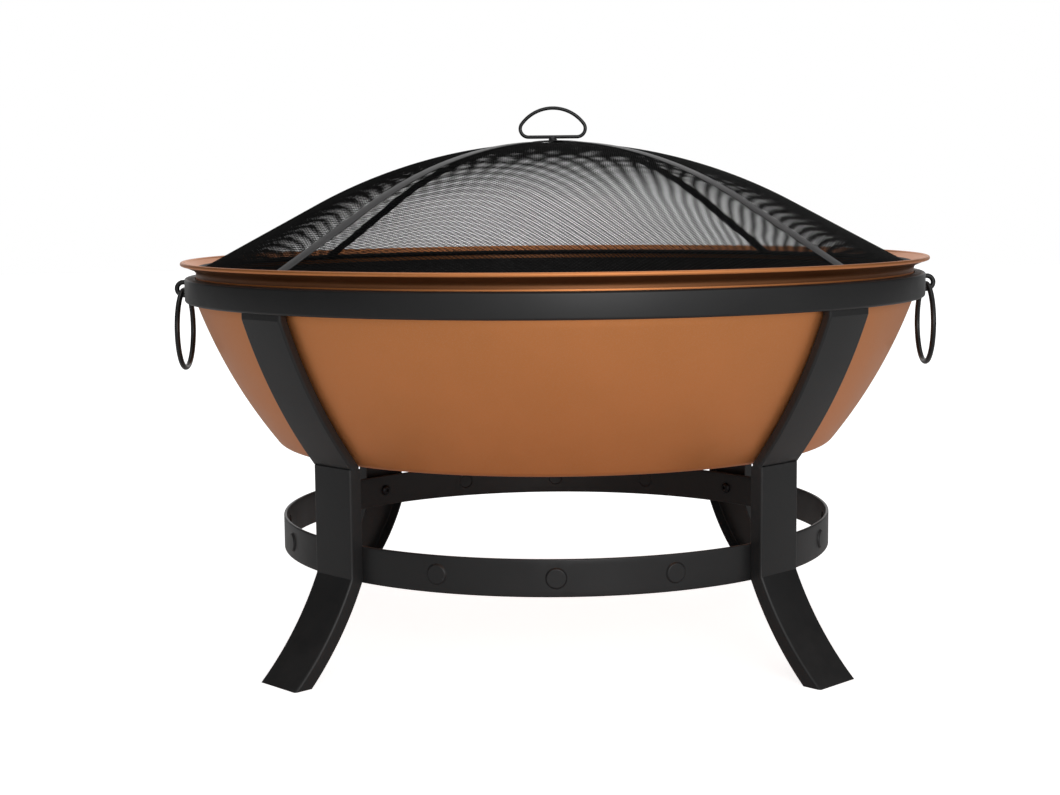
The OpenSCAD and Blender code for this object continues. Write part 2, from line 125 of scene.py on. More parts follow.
def together(shapes):
    """Several shapes as one."""
    points, faces, start = [], [], 0
    for part_points, part_faces in shapes:
        points.append(part_points)
        faces += [tuple(start + i for i in face) for face in part_faces]
        start += len(part_points)
    return np.vstack(points), faces


def make(name, shape, body, material, stands_for, crease=18, bevel=0):
    """A finished piece on its body: smooth but for its creases, and with its cut edges eased."""
    mesh = bpy.data.meshes.new(name)
    mesh.from_pydata([tuple(p) for p in shape[0]], [], shape[1])
    shell = bmesh.new()
    shell.from_mesh(mesh)
    bmesh.ops.remove_doubles(shell, verts=shell.verts, dist=1e-7)
    bmesh.ops.recalc_face_normals(shell, faces=shell.faces)
    shell.to_mesh(mesh)
    shell.free()
    mesh.shade_smooth()
    mesh.set_sharp_from_angle(angle=math.radians(crease))
    piece = bpy.data.objects.new(name, mesh)
    bpy.context.scene.collection.objects.link(piece)
    if bevel:
        ease = piece.modifiers.new("eased edges", "BEVEL")
        ease.width = bevel
        ease.segments = 2
        ease.limit_method = "ANGLE"
        ease.angle_limit = math.radians(40)
        ease.harden_normals = True
    mesh.materials.append(material)
    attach(piece, body)
    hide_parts(*stands_for)
    return piece


def lower_leg():
    """The upright channel and its curved foot, from the seam down to the ground."""
    side, depth = channel_section(leg_w, lower_leg_depth, leg_t, leg_bend_r).T
    radius = foot_arc_r + depth
    kink_turn = np.arccos((foot_x - lower_x + depth) / radius)
    floor_turn = np.arcsin(foot_z / radius)
    bend_z = foot_z - radius * np.sin(kink_turn)
    rings = []
    for share in np.linspace(0, 1, 7):
        rings.append(np.stack([lower_x - depth, side, seam_z + (bend_z - seam_z) * share], axis=1))
    for share in np.linspace(0, 1, 33)[1:]:
        turn = kink_turn + (floor_turn - kink_turn) * share
        rings.append(np.stack([foot_x - radius * np.cos(turn), side, foot_z - radius * np.sin(turn)], axis=1))
    return skin(rings)


def add(tree, kind, settings=None, **inputs):
    """A shader node, with its inputs set to values or joined to other nodes' outputs."""
    made = tree.nodes.new(kind)
    for key, value in (settings or {}).items():
        setattr(made, key, value)
    for key, value in inputs.items():
        socket = made.inputs[key.replace("_", " ")]
        if isinstance(value, bpy.types.NodeSocket):
            tree.links.new(value, socket)
        else:
            socket.default_value = value
    return made


def blend(tree, amount, first, second):
    """A colour between two colours, by a mask."""
    made = tree.nodes.new("ShaderNodeMix")
    made.data_type = "RGBA"
    for index, value in ((0, amount), (6, first), (7, second)):
        if isinstance(value, bpy.types.NodeSocket):
            tree.links.new(value, made.inputs[index])
        else:
            made.inputs[index].default_value = (*value, 1) if index else value
    return made.outputs[2]


def new_group(name, inputs, outputs):
    """An empty shader group with number inputs and outputs; colours end in Colour."""
    tree = bpy.data.node_groups.new(name, "ShaderNodeTree")
    for key, value in inputs.items():
        tree.interface.new_socket(key, in_out="INPUT", socket_type="NodeSocketFloat").default_value = value
    for key in outputs:
        kind = "NodeSocketColor" if key.endswith("Colour") else "NodeSocketFloat"
        tree.interface.new_socket(key, in_out="OUTPUT", socket_type=kind)
    return tree, tree.nodes.new("NodeGroupInput").outputs, tree.nodes.new("NodeGroupOutput").inputs


def arithmetic(tree, operation, first, second):
    """A sum, product or quotient of two values, each a number or another node's output."""
    made = add(tree, "ShaderNodeMath", {"operation": operation})
    for socket, value in zip(made.inputs, (first, second)):
        if isinstance(value, bpy.types.NodeSocket):
            tree.links.new(value, socket)
        else:
            socket.default_value = value
    return made.outputs[0]


def scaled(tree, value, factor):
    """A value made smaller by a share, or by a mask."""
    return arithmetic(tree, "MULTIPLY", value, factor)


def spread(tree, value, low, high, start=0.0, end=1.0):
    """A value that goes from start to end, stretched to go from low to high."""
    made = add(tree, "ShaderNodeMapRange", Value=value, From_Min=start, From_Max=end, To_Min=low, To_Max=high)
    return made.outputs[0]


def coat_grain_group():
    """Orange peel of a sprayed coat, fine grain, and slow unevenness over the whole piece."""
    sizes = {"Peel size": 0.0025, "Grain size": 0.0004}
    tree, given, out = new_group("coat grain", sizes, ["Height", "Mottle"])
    place = add(tree, "ShaderNodeTexCoord").outputs["Object"]
    peel_scale = arithmetic(tree, "DIVIDE", 1, given["Peel size"])
    grain_scale = arithmetic(tree, "DIVIDE", 1, given["Grain size"])
    peel = add(tree, "ShaderNodeTexNoise", Vector=place, Scale=peel_scale, Detail=1.0)
    grain = add(tree, "ShaderNodeTexNoise", Vector=place, Scale=grain_scale, Detail=0.0)
    fine = scaled(tree, grain.outputs["Fac"], 0.3)
    tree.links.new(arithmetic(tree, "ADD", peel.outputs["Fac"], fine), out["Height"])
    slow = add(tree, "ShaderNodeTexNoise", Vector=place, Scale=14.0, Detail=4.0, Roughness=0.6)
    tree.links.new(slow.outputs["Fac"], out["Mottle"])
    return tree


def edge_wear_group():
    """Where an outer edge is rubbed: a broken line along convex edges."""
    tree, given, out = new_group("edge wear", {"Spread": 0.03, "Patch size": 0.006}, ["Mask"])
    pointed = add(tree, "ShaderNodeNewGeometry").outputs["Pointiness"]
    nearly_flat = 0.53
    edge = spread(tree, pointed, 0.0, 1.0, nearly_flat, arithmetic(tree, "ADD", nearly_flat, given["Spread"]))
    patch_scale = arithmetic(tree, "DIVIDE", 1, given["Patch size"])
    place = add(tree, "ShaderNodeTexCoord").outputs["Object"]
    patches = add(tree, "ShaderNodeTexNoise", Vector=place, Scale=patch_scale, Detail=3.0)
    broken = spread(tree, patches.outputs["Fac"], 0.0, 1.0, 0.42, 0.62)
    tree.links.new(scaled(tree, edge, broken), out["Mask"])
    return tree


def dust_group():
    """Fine dust that settles on whatever faces up."""
    tree, given, out = new_group("settled dust", {"Patch size": 0.03}, ["Mask"])
    facing = add(tree, "ShaderNodeSeparateXYZ", Vector=add(tree, "ShaderNodeNewGeometry").outputs["Normal"])
    up = spread(tree, facing.outputs["Z"], 0.0, 1.0, 0.35, 1.0)
    patch_scale = arithmetic(tree, "DIVIDE", 1, given["Patch size"])
    place = add(tree, "ShaderNodeTexCoord").outputs["Object"]
    patches = add(tree, "ShaderNodeTexNoise", Vector=place, Scale=patch_scale, Detail=5.0, Roughness=0.7)
    drifted = spread(tree, patches.outputs["Fac"], 0.0, 1.0, 0.35, 0.75)
    tree.links.new(scaled(tree, up, drifted), out["Mask"])
    return tree


coat_grain = coat_grain_group()
edge_wear = edge_wear_group()
settled_dust = dust_group()


def use(tree, group, **inputs):
    """A shader group placed in a material."""
    made = tree.nodes.new("ShaderNodeGroup")
    made.node_tree = group
    for key, value in inputs.items():
        made.inputs[key.replace("_", " ")].default_value = value
    return made.outputs


def new_coat(name):
    """A new material, with its node tree and its surface shader."""
    material = bpy.data.materials.new(name)
    material.use_nodes = True
    return material, material.node_tree, material.node_tree.nodes["Principled BSDF"]


def mottled(tree, grain, dark, light):
    """Two tones of a coat, in slow patches."""
    return blend(tree, spread(tree, grain["Mottle"], 0, 1, 0.3, 0.7), dark, light)


def uneven(tree, grain, gloss):
    """Roughness that drifts between two values, in the same slow patches."""
    return spread(tree, grain["Mottle"], gloss[0], gloss[1], 0.3, 0.7)


def finish_coat(tree, surface, colour, roughness, height, depth):
    """Joins a coat's colour, roughness and fine relief to its surface."""
    tree.links.new(colour, surface.inputs["Base Color"])
    tree.links.new(roughness, surface.inputs["Roughness"])
    bump = add(tree, "ShaderNodeBump", Height=height, Distance=depth, Strength=1.0)
    tree.links.new(bump.outputs[0], surface.inputs["Normal"])


def coated_steel(name, dark, light, rubbed, gloss, peel_size=0.0025, peel_depth=0.00003, wear=0.5, dust=0.1,
                 shine=0.5):
    """Painted or powder-coated steel: two tones of the coat, rubbed edges and a trace of dust."""
    material, tree, surface = new_coat(name)
    grain = use(tree, coat_grain, Peel_size=peel_size)
    worn = use(tree, edge_wear)
    dusty = use(tree, settled_dust)
    coat = mottled(tree, grain, dark, light)
    coat = blend(tree, scaled(tree, worn["Mask"], wear), coat, rubbed)
    coat = blend(tree, scaled(tree, dusty["Mask"], dust), coat, (0.32, 0.3, 0.28))
    surface.inputs["Specular IOR Level"].default_value = shine
    finish_coat(tree, surface, coat, uneven(tree, grain, gloss), grain["Height"], peel_depth)
    return material


stand_black = coated_steel(
    "satin black powder coat", (0.0125, 0.0125, 0.013), (0.017, 0.017, 0.0175), (0.05, 0.05, 0.05),
    (0.34, 0.44))

for name in leg_names:
    make("lower_channel_" + name, turned(lower_leg(), leg_turns[name]), "stand", stand_black,
         ["lower_leg_" + name], bevel=0.3 * MM)

# ---- upper legs ----
# Shallow C-channels bent to the bowl's wall; the edges of their side flanges carry the bowl. Each ends
# in a straight, narrower tongue that slides down inside the lower leg.
upper_leg_depth = 8.2 * MM
tongue_gap = 0.1 * MM
wall_arc_r = 500 * MM
wall_lean = math.radians(19.5)
flare_w = 15.5 * MM
wall_h = 145.7 * MM
seat_gap = 0.4 * MM
rim_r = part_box("bowl")[1].x
base_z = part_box("bowl")[0].z
neck_r = rim_r - flare_w
wall_top_z = base_z + wall_h
arc_x = neck_r - wall_arc_r * math.cos(wall_lean)
arc_z = wall_top_z + wall_arc_r * math.sin(wall_lean)
upper_face_r = wall_arc_r + seat_gap + upper_leg_depth
upper_w = leg_w + 4.5 * MM
tongue_w = leg_w - 2 * leg_t - 2 * tongue_gap
upper_top_x = math.sqrt((neck_r + seat_gap + upper_leg_depth) ** 2 - (upper_w / 2) ** 2)
tongue_x = lower_x - leg_t


def upper_leg():
    """The bent channel down to the seam, and the narrower tongue that goes on below it."""
    low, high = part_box("upper_leg_front_left")
    side, depth = channel_section(upper_w, upper_leg_depth, leg_t, leg_bend_r).T
    radius = upper_face_r - depth
    top_turn = np.arccos((upper_top_x - depth - arc_x) / radius)
    seam_turn = np.arccos((tongue_x - depth - arc_x) / radius)
    rings = [np.stack([upper_top_x - depth, side, np.full_like(side, high.z)], axis=1)]
    rings.append(np.stack([upper_top_x - depth, side, arc_z - radius * np.sin(top_turn)], axis=1))
    for share in np.linspace(0, 1, 41)[1:]:
        turn = top_turn + (seam_turn - top_turn) * share
        rings.append(np.stack([arc_x + radius * np.cos(turn), side, arc_z - radius * np.sin(turn)], axis=1))
    rings.append(np.stack([tongue_x - depth, side, np.full_like(side, seam_z - 0.05 * MM)], axis=1))
    side, depth = channel_section(tongue_w, upper_leg_depth, leg_t, leg_bend_r).T
    tongue = [np.stack([tongue_x - depth, side, np.full_like(side, z)], axis=1)
              for z in np.linspace(seam_z, low.z, 5)]
    return together([skin(rings), skin(tongue)])


for name in leg_names:
    make("upper_channel_" + name, turned(upper_leg(), leg_turns[name]), "stand", stand_black,
         ["upper_leg_" + name], bevel=0.3 * MM)

# ---- leg joints ----
# Two M6 studs welded inside each lower leg pass through the upper leg's tongue and take a washer and a
# nut, so that nothing shows from outside. Black zinc-plated steel.
thread_r = 3 * MM
thread_pitch = 1 * MM
nut_w = 10 * MM
nut_h = 5 * MM
washer_d = 12 * MM
washer_t = 1.2 * MM
stud_zs = [seam_z - 17 * MM, seam_z - 45 * MM]
around = 48


def level_ring(r, z, columns):
    """Points round the axis. The radius and the height may differ from point to point."""
    turns = np.arange(columns) * 2 * math.pi / columns
    return np.stack([r * np.cos(turns), r * np.sin(turns), np.broadcast_to(z, columns)], axis=1)


def lathe(rows, columns=around):
    """A body about its own Z axis. A row is its height and its radius, or one radius for each column."""
    return skin([level_ring(r, z, columns) for z, r in rows], capped=False)


def aimed(shape, x, z, away=False):
    """A lathe body laid along a leg's direction, from x outward, or inward."""
    points, faces = shape
    sign = -1 if away else 1
    return np.stack([x + sign * points[:, 2], points[:, 1], z + points[:, 0]], axis=1), faces


def thread_rows(start, end, r):
    """Rows of a screw thread between two heights."""
    turns = np.arange(around) / around
    rows = []
    for z in np.linspace(start, end, max(2, round((end - start) / thread_pitch * 6) + 1)):
        wave = np.abs((z / thread_pitch - turns) % 1 * 2 - 1)
        rows.append((z, r - 0.55 * MM * wave))
    return rows


def hexagon(flats, turn=0.0):
    """The radius of a hexagon for each column."""
    turns = np.arange(around) * 2 * math.pi / around + turn
    return flats / 2 / np.cos((turns + math.pi / 6) % (math.pi / 3) - math.pi / 6)


def nut():
    """Hexagon nut with both faces chamfered and a countersunk bore."""
    side = hexagon(nut_w)
    face_r = 0.47 * nut_w
    chamfer = (side - face_r) * math.tan(math.radians(30))
    levels = [(0, 3.4 * MM), (0, face_r), (chamfer, side), (nut_h - chamfer, side),
              (nut_h, face_r), (nut_h, 3.4 * MM), (nut_h - 0.7 * MM, 2.6 * MM), (0.7 * MM, 2.6 * MM)]
    return skin([level_ring(r, z, around) for z, r in levels], closed=True)


def washer(outer_r, inner_r, thickness):
    """Flat washer with rolled-over outer edges."""
    soft = 0.25 * MM
    rows = [(0, inner_r), (0, outer_r - soft), (soft, outer_r), (thickness - soft, outer_r),
            (thickness, outer_r - soft), (thickness, inner_r)]
    points, faces = lathe(rows)
    faces += [(5 * around + i, 5 * around + (i + 1) % around, (i + 1) % around, i) for i in range(around)]
    return points, faces


def stud(length):
    """Threaded stud: plain weld collar at the root, thread, and a chamfered tip."""
    rows = [(0, 0.0), (0, thread_r + 1.1 * MM), (0.5 * MM, thread_r + 0.6 * MM), (1.1 * MM, thread_r)]
    rows += thread_rows(1.6 * MM, length - 0.8 * MM, thread_r)
    rows += [(length - 0.4 * MM, thread_r - 0.5 * MM), (length, thread_r - 0.9 * MM), (length, 0.0)]
    return lathe(rows)


def plated_steel(name, dark, light, gloss):
    """Zinc plating: metal with a slightly cloudy sheen, worn grey on the edges."""
    material, tree, surface = new_coat(name)
    grain = use(tree, coat_grain, Peel_size=0.0012, Grain_size=0.0002)
    worn = use(tree, edge_wear, Patch_size=0.002)
    colour = mottled(tree, grain, dark, light)
    colour = blend(tree, scaled(tree, worn["Mask"], 0.4), colour, (0.2, 0.2, 0.2))
    surface.inputs["Metallic"].default_value = 1
    cloudy = spread(tree, grain["Height"], gloss[0], gloss[1], 0.3, 0.9)
    finish_coat(tree, surface, colour, cloudy, grain["Height"], 0.00001)
    return material


black_zinc = plated_steel("black zinc plating", (0.03, 0.03, 0.032), (0.055, 0.055, 0.06), (0.35, 0.5))


def at_joints(shape, x):
    """Copies of a fastener at both stud places of all four legs, pointing inward."""
    return together([turned(aimed(shape, x, z, True), turn) for turn in leg_turns.values() for z in stud_zs])


stud_l = 9.2 * MM + leg_t
inner_x = tongue_x - leg_t
make("weld_studs", at_joints(stud(stud_l), tongue_x), "stand", black_zinc,
     ["leg_weld_studs"], 35)
make("joint_washers", at_joints(washer(washer_d / 2, thread_r + 0.1 * MM, washer_t), inner_x),
     "stand", black_zinc, ["leg_washers"], 35)
make("joint_nuts", at_joints(nut(), inner_x - washer_t), "stand", black_zinc,
     ["leg_nuts"], 25)

# ---- bridge plates ----
# A small plate welded across the inside of each lower leg's channel gives the ring bolt something to
# pull against. Cut from 2.5 mm strip, with corners rounded and weld runs down both sides.
bridge_t = 2.5 * MM
bridge_h = 28 * MM
ring_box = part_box("lower_ring")
ring_z, ring_top_z = ring_box[0].z, ring_box[1].z
ring_mid_z = (ring_z + ring_top_z) / 2
bridge_x = reach("bridge_plate_back_right", leg_turns["back_right"])[0]


def tube(path, radius, sides=20, closed=False, nose=0.0):
    """Round wire along a path; a wire that isn't closed has its ends rounded over by nose."""
    path = np.asarray(path, float)
    radii = np.broadcast_to(np.asarray(radius, float), len(path)).copy()
    if closed:
        ahead = np.roll(path, -1, axis=0) - np.roll(path, 1, axis=0)
    else:
        ahead = np.gradient(path, axis=0)
        first, last = ahead[0] / np.linalg.norm(ahead[0]), ahead[-1] / np.linalg.norm(ahead[-1])
        bends = np.radians([0, 30, 60])
        start = path[0] + np.outer(nose * (1 - np.cos(bends)), first)
        start_r = radii[0] - nose * (1 - np.sin(bends))
        finish = path[-1] - np.outer(nose * (1 - np.cos(bends[::-1])), last)
        finish_r = radii[-1] - nose * (1 - np.sin(bends[::-1]))
        path = np.vstack([start, path[:1] + nose * first, path[1:-1], path[-1:] - nose * last, finish])
        radii = np.concatenate([start_r, radii, finish_r])
        ahead = np.vstack([[first] * 4, ahead[1:-1], [last] * 4])
    ahead = ahead / np.linalg.norm(ahead, axis=1, keepdims=True)
    seed = np.array([0, 0, 1.0]) if abs(ahead[0][2]) < 0.9 else np.array([1.0, 0, 0])
    across = np.cross(ahead[0], seed)
    rings = []
    turns = np.arange(sides) * 2 * math.pi / sides
    for point, direction, r in zip(path, ahead, radii):
        across = across - direction * (across @ direction)
        across = across / np.linalg.norm(across)
        other = np.cross(direction, across)
        rings.append(point + r * (np.outer(np.cos(turns), across) + np.outer(np.sin(turns), other)))
    return skin(rings, capped=True, closed=closed)


def weld_run(start, end, size, ripples):
    """A bead of weld laid from one point to another, with the ripple of each stitch."""
    share = np.linspace(0, 1, ripples * 6 + 1)
    path = np.outer(1 - share, start) + np.outer(share, end)
    ripple = 1 + 0.13 * np.sin(share * ripples * 2 * math.pi)
    taper = np.clip(9 * share * (1 - share), 0.45, 1)
    return tube(path, size * ripple * taper, 12, nose=0.3 * size)


def bridge_plate():
    """The plate across a leg's channel, with its two weld runs."""
    half = leg_w / 2 - leg_t
    corner = 2 * MM
    outline = np.vstack([arc(sx * (half - corner), sz * (bridge_h / 2 - corner), corner, start, start + 90, 5)
                         for sx, sz, start in ((1, 1, 0), (-1, 1, 90), (-1, -1, 180), (1, -1, 270))])
    rings = [np.stack([np.full(len(outline), x), outline[:, 0], ring_mid_z + outline[:, 1]], axis=1)
             for x in (bridge_x, bridge_x + bridge_t)]
    welds = [weld_run((bridge_x + bridge_t, side * half, ring_mid_z - 10 * MM),
                      (bridge_x + bridge_t, side * half, ring_mid_z + 10 * MM), 1.3 * MM, 9)
             for side in (-1, 1)]
    return together([skin(rings), *welds])


for name in leg_names:
    make("bolt_plate_" + name, turned(bridge_plate(), leg_turns[name]), "stand", stand_black,
         ["bridge_plate_" + name], 35, bevel=0.25 * MM)

# ---- lower ring ----
# A steel strip rolled into a hoop inside the legs, its edges rounded, with twelve round studs pressed
# out of it: raised and rounded outside, a matching dimple inside.
ring_r = bridge_x - tongue_gap
ring_t = 3 * MM
ring_edge_r = 1.4 * MM
emboss_r = 9.75 * MM
emboss_h = 1.8 * MM
ring_places = 16
rim_steps = 12
gap_steps = 10
ring_h_flat = (ring_top_z - ring_z) / 2 - ring_edge_r
patch_heights = ring_h_flat * np.tan(np.radians(np.linspace(-45, 45, rim_steps + 1)))


def ring_columns():
    """Angles of the strip's upright lines: close together at each pressed place, wider between."""
    patch = np.arctan(patch_heights / ring_r)
    step = 2 * math.pi / ring_places
    gap = np.linspace(patch[-1], step + patch[0], gap_steps + 1)[1:-1]
    return np.concatenate([place * step + np.concatenate([patch, gap]) for place in range(ring_places)])


def pressed(distance, outside):
    """How far the metal is pushed out at a distance from a stud's middle."""
    edge = emboss_r if outside else emboss_r - 1.4 * MM
    share = np.clip((edge - distance) / (1.7 * MM), 0, 1)
    return emboss_h * np.sin(share * math.pi / 2) ** 0.8


def ring_wall(outside):
    """One face of the strip, with a round patch of rings at each pressed stud."""
    columns = ring_columns()
    face_r = ring_r if outside else ring_r - ring_t
    per_place = rim_steps + gap_steps
    points = [(face_r * math.cos(a), face_r * math.sin(a), ring_mid_z + h)
              for a in columns for h in patch_heights]
    faces = []
    rows = rim_steps + 1
    places_per_leg = ring_places // len(leg_names)
    for place in range(ring_places):
        for column in range(per_place):
            if place % places_per_leg != places_per_leg // 2 and column < rim_steps:
                continue
            a = (place * per_place + column) * rows
            b = (place * per_place + column + 1) % len(columns) * rows
            faces += [(a + k, b + k, b + k + 1, a + k + 1) for k in range(rim_steps)]
        if place % places_per_leg == places_per_leg // 2:
            continue
        middle = place * 2 * math.pi / ring_places
        first = place * per_place
        square = [(first + rim_steps) * rows + k for k in range(rim_steps)]
        square += [(first + rim_steps - k) * rows + rim_steps for k in range(rim_steps)]
        square += [first * rows + rim_steps - k for k in range(rim_steps)]
        square += [(first + k) * rows for k in range(rim_steps)]
        edge = [(math.tan(columns[i // rows] - middle) * ring_r, patch_heights[i % rows]) for i in square]
        turns = [math.atan2(h, s) for s, h in edge]
        last = square
        for r in (12.5 * MM, 10.6 * MM, *np.linspace(9.9, 7.4, 9) * MM, 5 * MM, 2.4 * MM):
            start = len(points)
            for turn in turns:
                side, up = r * math.cos(turn), r * math.sin(turn)
                angle = middle + side / ring_r
                out = face_r + pressed(r, outside)
                points.append((out * math.cos(angle), out * math.sin(angle), ring_mid_z + up))
            now = list(range(start, start + len(turns)))
            for k in range(len(now)):
                n = (k + 1) % len(now)
                faces.append((last[k], last[n], now[n], now[k]))
            last = now
        faces.append(tuple(last))
    return np.array(points), faces


def ring_edge(top):
    """The strip's rounded edge between its outer and its inner face."""
    columns = ring_columns()
    sign = 1 if top else -1
    turns = np.radians(np.linspace(0, 90, 6))
    profile = [(ring_r - ring_edge_r + ring_edge_r * math.cos(t), ring_h_flat + ring_edge_r * math.sin(t))
               for t in turns]
    profile += [(2 * ring_r - ring_t - r, h) for r, h in profile[::-1]]
    points = [(r * math.cos(a), r * math.sin(a), ring_mid_z + sign * h) for r, h in profile for a in columns]
    return np.array(points), grid_faces(len(profile), len(columns), False, True)


make("foot_ring", together([ring_wall(True), ring_wall(False), ring_edge(True), ring_edge(False)]),
     "stand", stand_black, ["lower_ring"], 30)

# ---- ring bolts ----
# Button-head bolts from inside the ring through each bridge plate, with a nut behind. Bolts and
# nuts are black zinc-plated.
head_h = 3.6 * MM
head_x = ring_r - ring_t
bolt_end_x = reach("ring_bolts", leg_turns["back_right"])[1]


def button_bolt():
    """Domed head with a hexagon socket, shank and thread; the head's seat is at zero."""
    socket = hexagon(4 * MM)
    rows = [(-1.6 * MM, 0.0), (-1.6 * MM, socket * 0.98)]
    rows += [(-head_h + 0.15 * MM, socket), (-head_h, socket + 0.2 * MM)]
    for turn in np.radians(np.linspace(80, 0, 9)):
        rows.append((-0.7 * MM - (head_h - 0.7 * MM) * math.sin(turn), 3 * MM + 3 * MM * math.cos(turn)))
    rows += [(0, 6 * MM), (0, thread_r)]
    length = bolt_end_x - head_x
    rows += thread_rows(3.4 * MM, length - 0.8 * MM, thread_r)
    rows += [(length - 0.4 * MM, thread_r - 0.5 * MM), (length, thread_r - 0.9 * MM), (length, 0.0)]
    return lathe(rows)


def at_legs(shape, x):
    """Copies of a fastener at all four legs, pointing outward at the ring's mid height."""
    return together([turned(aimed(shape, x, ring_mid_z), turn) for turn in leg_turns.values()])


make("ring_bolt_set", at_legs(button_bolt(), head_x), "stand", black_zinc, ["ring_bolts"], 35)
make("ring_nut_set", at_legs(nut(), bridge_x + bridge_t), "stand", black_zinc,
     ["ring_nuts"], 25)

# ---- support band ----
# A rolled steel band round the tops of the legs, its outer edges well rounded, with a flange turned in
# at the top that closes the gap to the bowl's neck. Welded to the legs and coated with them.
band_low, band_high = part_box("support_band")
band_r = band_high.x
band_t = 3 * MM
band_edge_r = 2.4 * MM
band_bore_r = neck_r + 2 * seat_gap
hoop_columns = 288


def hooped(outline):
    """A closed outline of radius and height, turned right round the axis."""
    turns = np.arange(hoop_columns) * 2 * math.pi / hoop_columns
    rings = [np.stack([outline[:, 0] * math.cos(t), outline[:, 0] * math.sin(t), outline[:, 1]], axis=1)
             for t in turns]
    return skin(rings, closed=True)


def support_band():
    """Band and flange in one section, with every corner rounded."""
    inner_r = band_r - band_t
    top = band_high.z
    outline = np.vstack([
        arc(band_r - band_edge_r, band_low.z + band_edge_r, band_edge_r, -90, 0, 8),
        arc(band_r - band_edge_r, top - band_edge_r, band_edge_r, 0, 90, 8),
        arc(band_bore_r + 0.8 * MM, top - 0.8 * MM, 0.8 * MM, 90, 180, 4),
        arc(band_bore_r + 0.8 * MM, top - band_t + 0.8 * MM, 0.8 * MM, 180, 270, 4),
        arc(inner_r - 1 * MM, top - band_t - 1 * MM, 1 * MM, 90, 0, 4),
        arc(inner_r + 0.3 * MM, band_low.z + 0.3 * MM, 0.3 * MM, 180, 270, 3),
    ])
    return hooped(outline)


make("rim_band", support_band(), "stand", stand_black, ["support_band"], 30)

# ---- staples ----
# A wire eye welded to the band on each side, standing upright, for the drop ring to hang in.
staple_wire_d = 5 * MM
staple_low, staple_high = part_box("staple_right")
staple_r = (staple_high.z - staple_low.z - staple_wire_d) / 2
staple_x = staple_high.x - staple_wire_d / 2 - staple_r
staple_z = (staple_high.z + staple_low.z) / 2


def staple(side):
    """Wire out of the band, round a half circle and back, with a ring of weld at each root."""
    root = band_r - 0.8 * MM
    bend = arc(staple_x, staple_z, staple_r, -90, 90, 24)
    line = np.vstack([[root, staple_z - staple_r], bend, [root, staple_z + staple_r]])
    path = np.stack([side * line[:, 0], np.zeros(len(line)), line[:, 1]], axis=1)
    parts = [tube(path, staple_wire_d / 2, 24)]
    turns = np.arange(40) * 2 * math.pi / 40
    for root_z in (staple_z - staple_r, staple_z + staple_r):
        collar_r = staple_wire_d / 2 + 0.3 * MM
        collar = np.stack([np.full(40, side * (band_r + 0.2 * MM)), collar_r * np.cos(turns),
                           root_z + collar_r * np.sin(turns)], axis=1)
        parts.append(tube(collar, 1.1 * MM * (1 + 0.16 * np.sin(7 * turns)), 10, closed=True))
    return together(parts)


wire_black = coated_steel(
    "satin black on wire", (0.010, 0.010, 0.0105), (0.014, 0.014, 0.0145), (0.05, 0.05, 0.05), (0.26, 0.38),
    peel_size=0.0016, peel_depth=0.00002)

for side, name in ((-1, "left"), (1, "right")):
    make("staple_eye_" + name, staple(side), "stand", wire_black, ["staple_" + name], 50)

# ---- drop rings ----
# A ring of round wire hangs in each staple as a handle, its ends butt-welded at the top.
handle_wire_r = 2.75 * MM


def drop_ring(name):
    """A closed ring of wire, a little thicker where its ends were welded."""
    low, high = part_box("ring_handle_" + name)
    middle = (low + high) / 2
    r = (high.z - low.z) / 2 - handle_wire_r
    turns = np.arange(120) * 2 * math.pi / 120
    path = np.stack([np.full_like(turns, middle.x), middle.y + r * np.sin(turns), middle.z + r * np.cos(turns)],
                    axis=1)
    off_weld = np.minimum(np.abs(turns - 0.5), 2 * math.pi - np.abs(turns - 0.5))
    swell = handle_wire_r * (1 + 0.05 * np.exp(-(off_weld * r / (1.2 * MM)) ** 2))
    return tube(path, swell, 28, closed=True)


for name in ("left", "right"):
    make("drop_ring_" + name, drop_ring(name), name + "_ring_handle", wire_black,
         ["ring_handle_" + name], 60)

# ---- bowl ----
# Pressed from one 1.2 mm sheet: flat base, curved wall, upright neck, and a flared rim rolled into a
# bead. Copper-coloured heat paint outside and over the rim; matt black inside.
# Under the rim the copper is darkened by painted shade: the upper neck and the flare's underside outside, and
# the bend inside.
bowl_t = 1.2 * MM
base_corner_r = 12 * MM
neck_h = 28.5 * MM
flare_bend_r = 5 * MM
flare_slope = 27
bead_r = 2 * MM
corner_z = base_z + base_corner_r
corner_x = arc_x + math.sqrt((wall_arc_r - base_corner_r) ** 2 - (arc_z - corner_z) ** 2)
corner_turn = math.degrees(math.atan2(corner_z - arc_z, corner_x - arc_x))
bend_x = neck_r + flare_bend_r
bend_z = wall_top_z + neck_h
# Outside, painted shade darkens the neck above this height; below it the copper keeps its full colour.
painted_shade_line = bend_z - 2.2 * MM


def bowl_face(depth):
    """One face of the sheet, at a depth inside its outer face, from near the middle to the rim."""
    press_r = 5 * MM
    flat = np.stack([np.linspace(0, corner_x, 9)[:-1], np.full(8, base_z + depth)], axis=1)
    corner = arc(corner_x, corner_z, base_corner_r - depth, -90, corner_turn, 12)
    wall = arc(arc_x, arc_z, wall_arc_r - depth, corner_turn, -math.degrees(wall_lean) - 0.45, 40)[1:]
    neck = [[neck_r - depth, z] for z in (wall_top_z + press_r, wall_top_z + neck_h * 0.6, painted_shade_line)]
    bend = arc(bend_x, bend_z, flare_bend_r + depth, 180, 90 + flare_slope, 10)
    return np.vstack([flat, corner, wall, neck, bend])


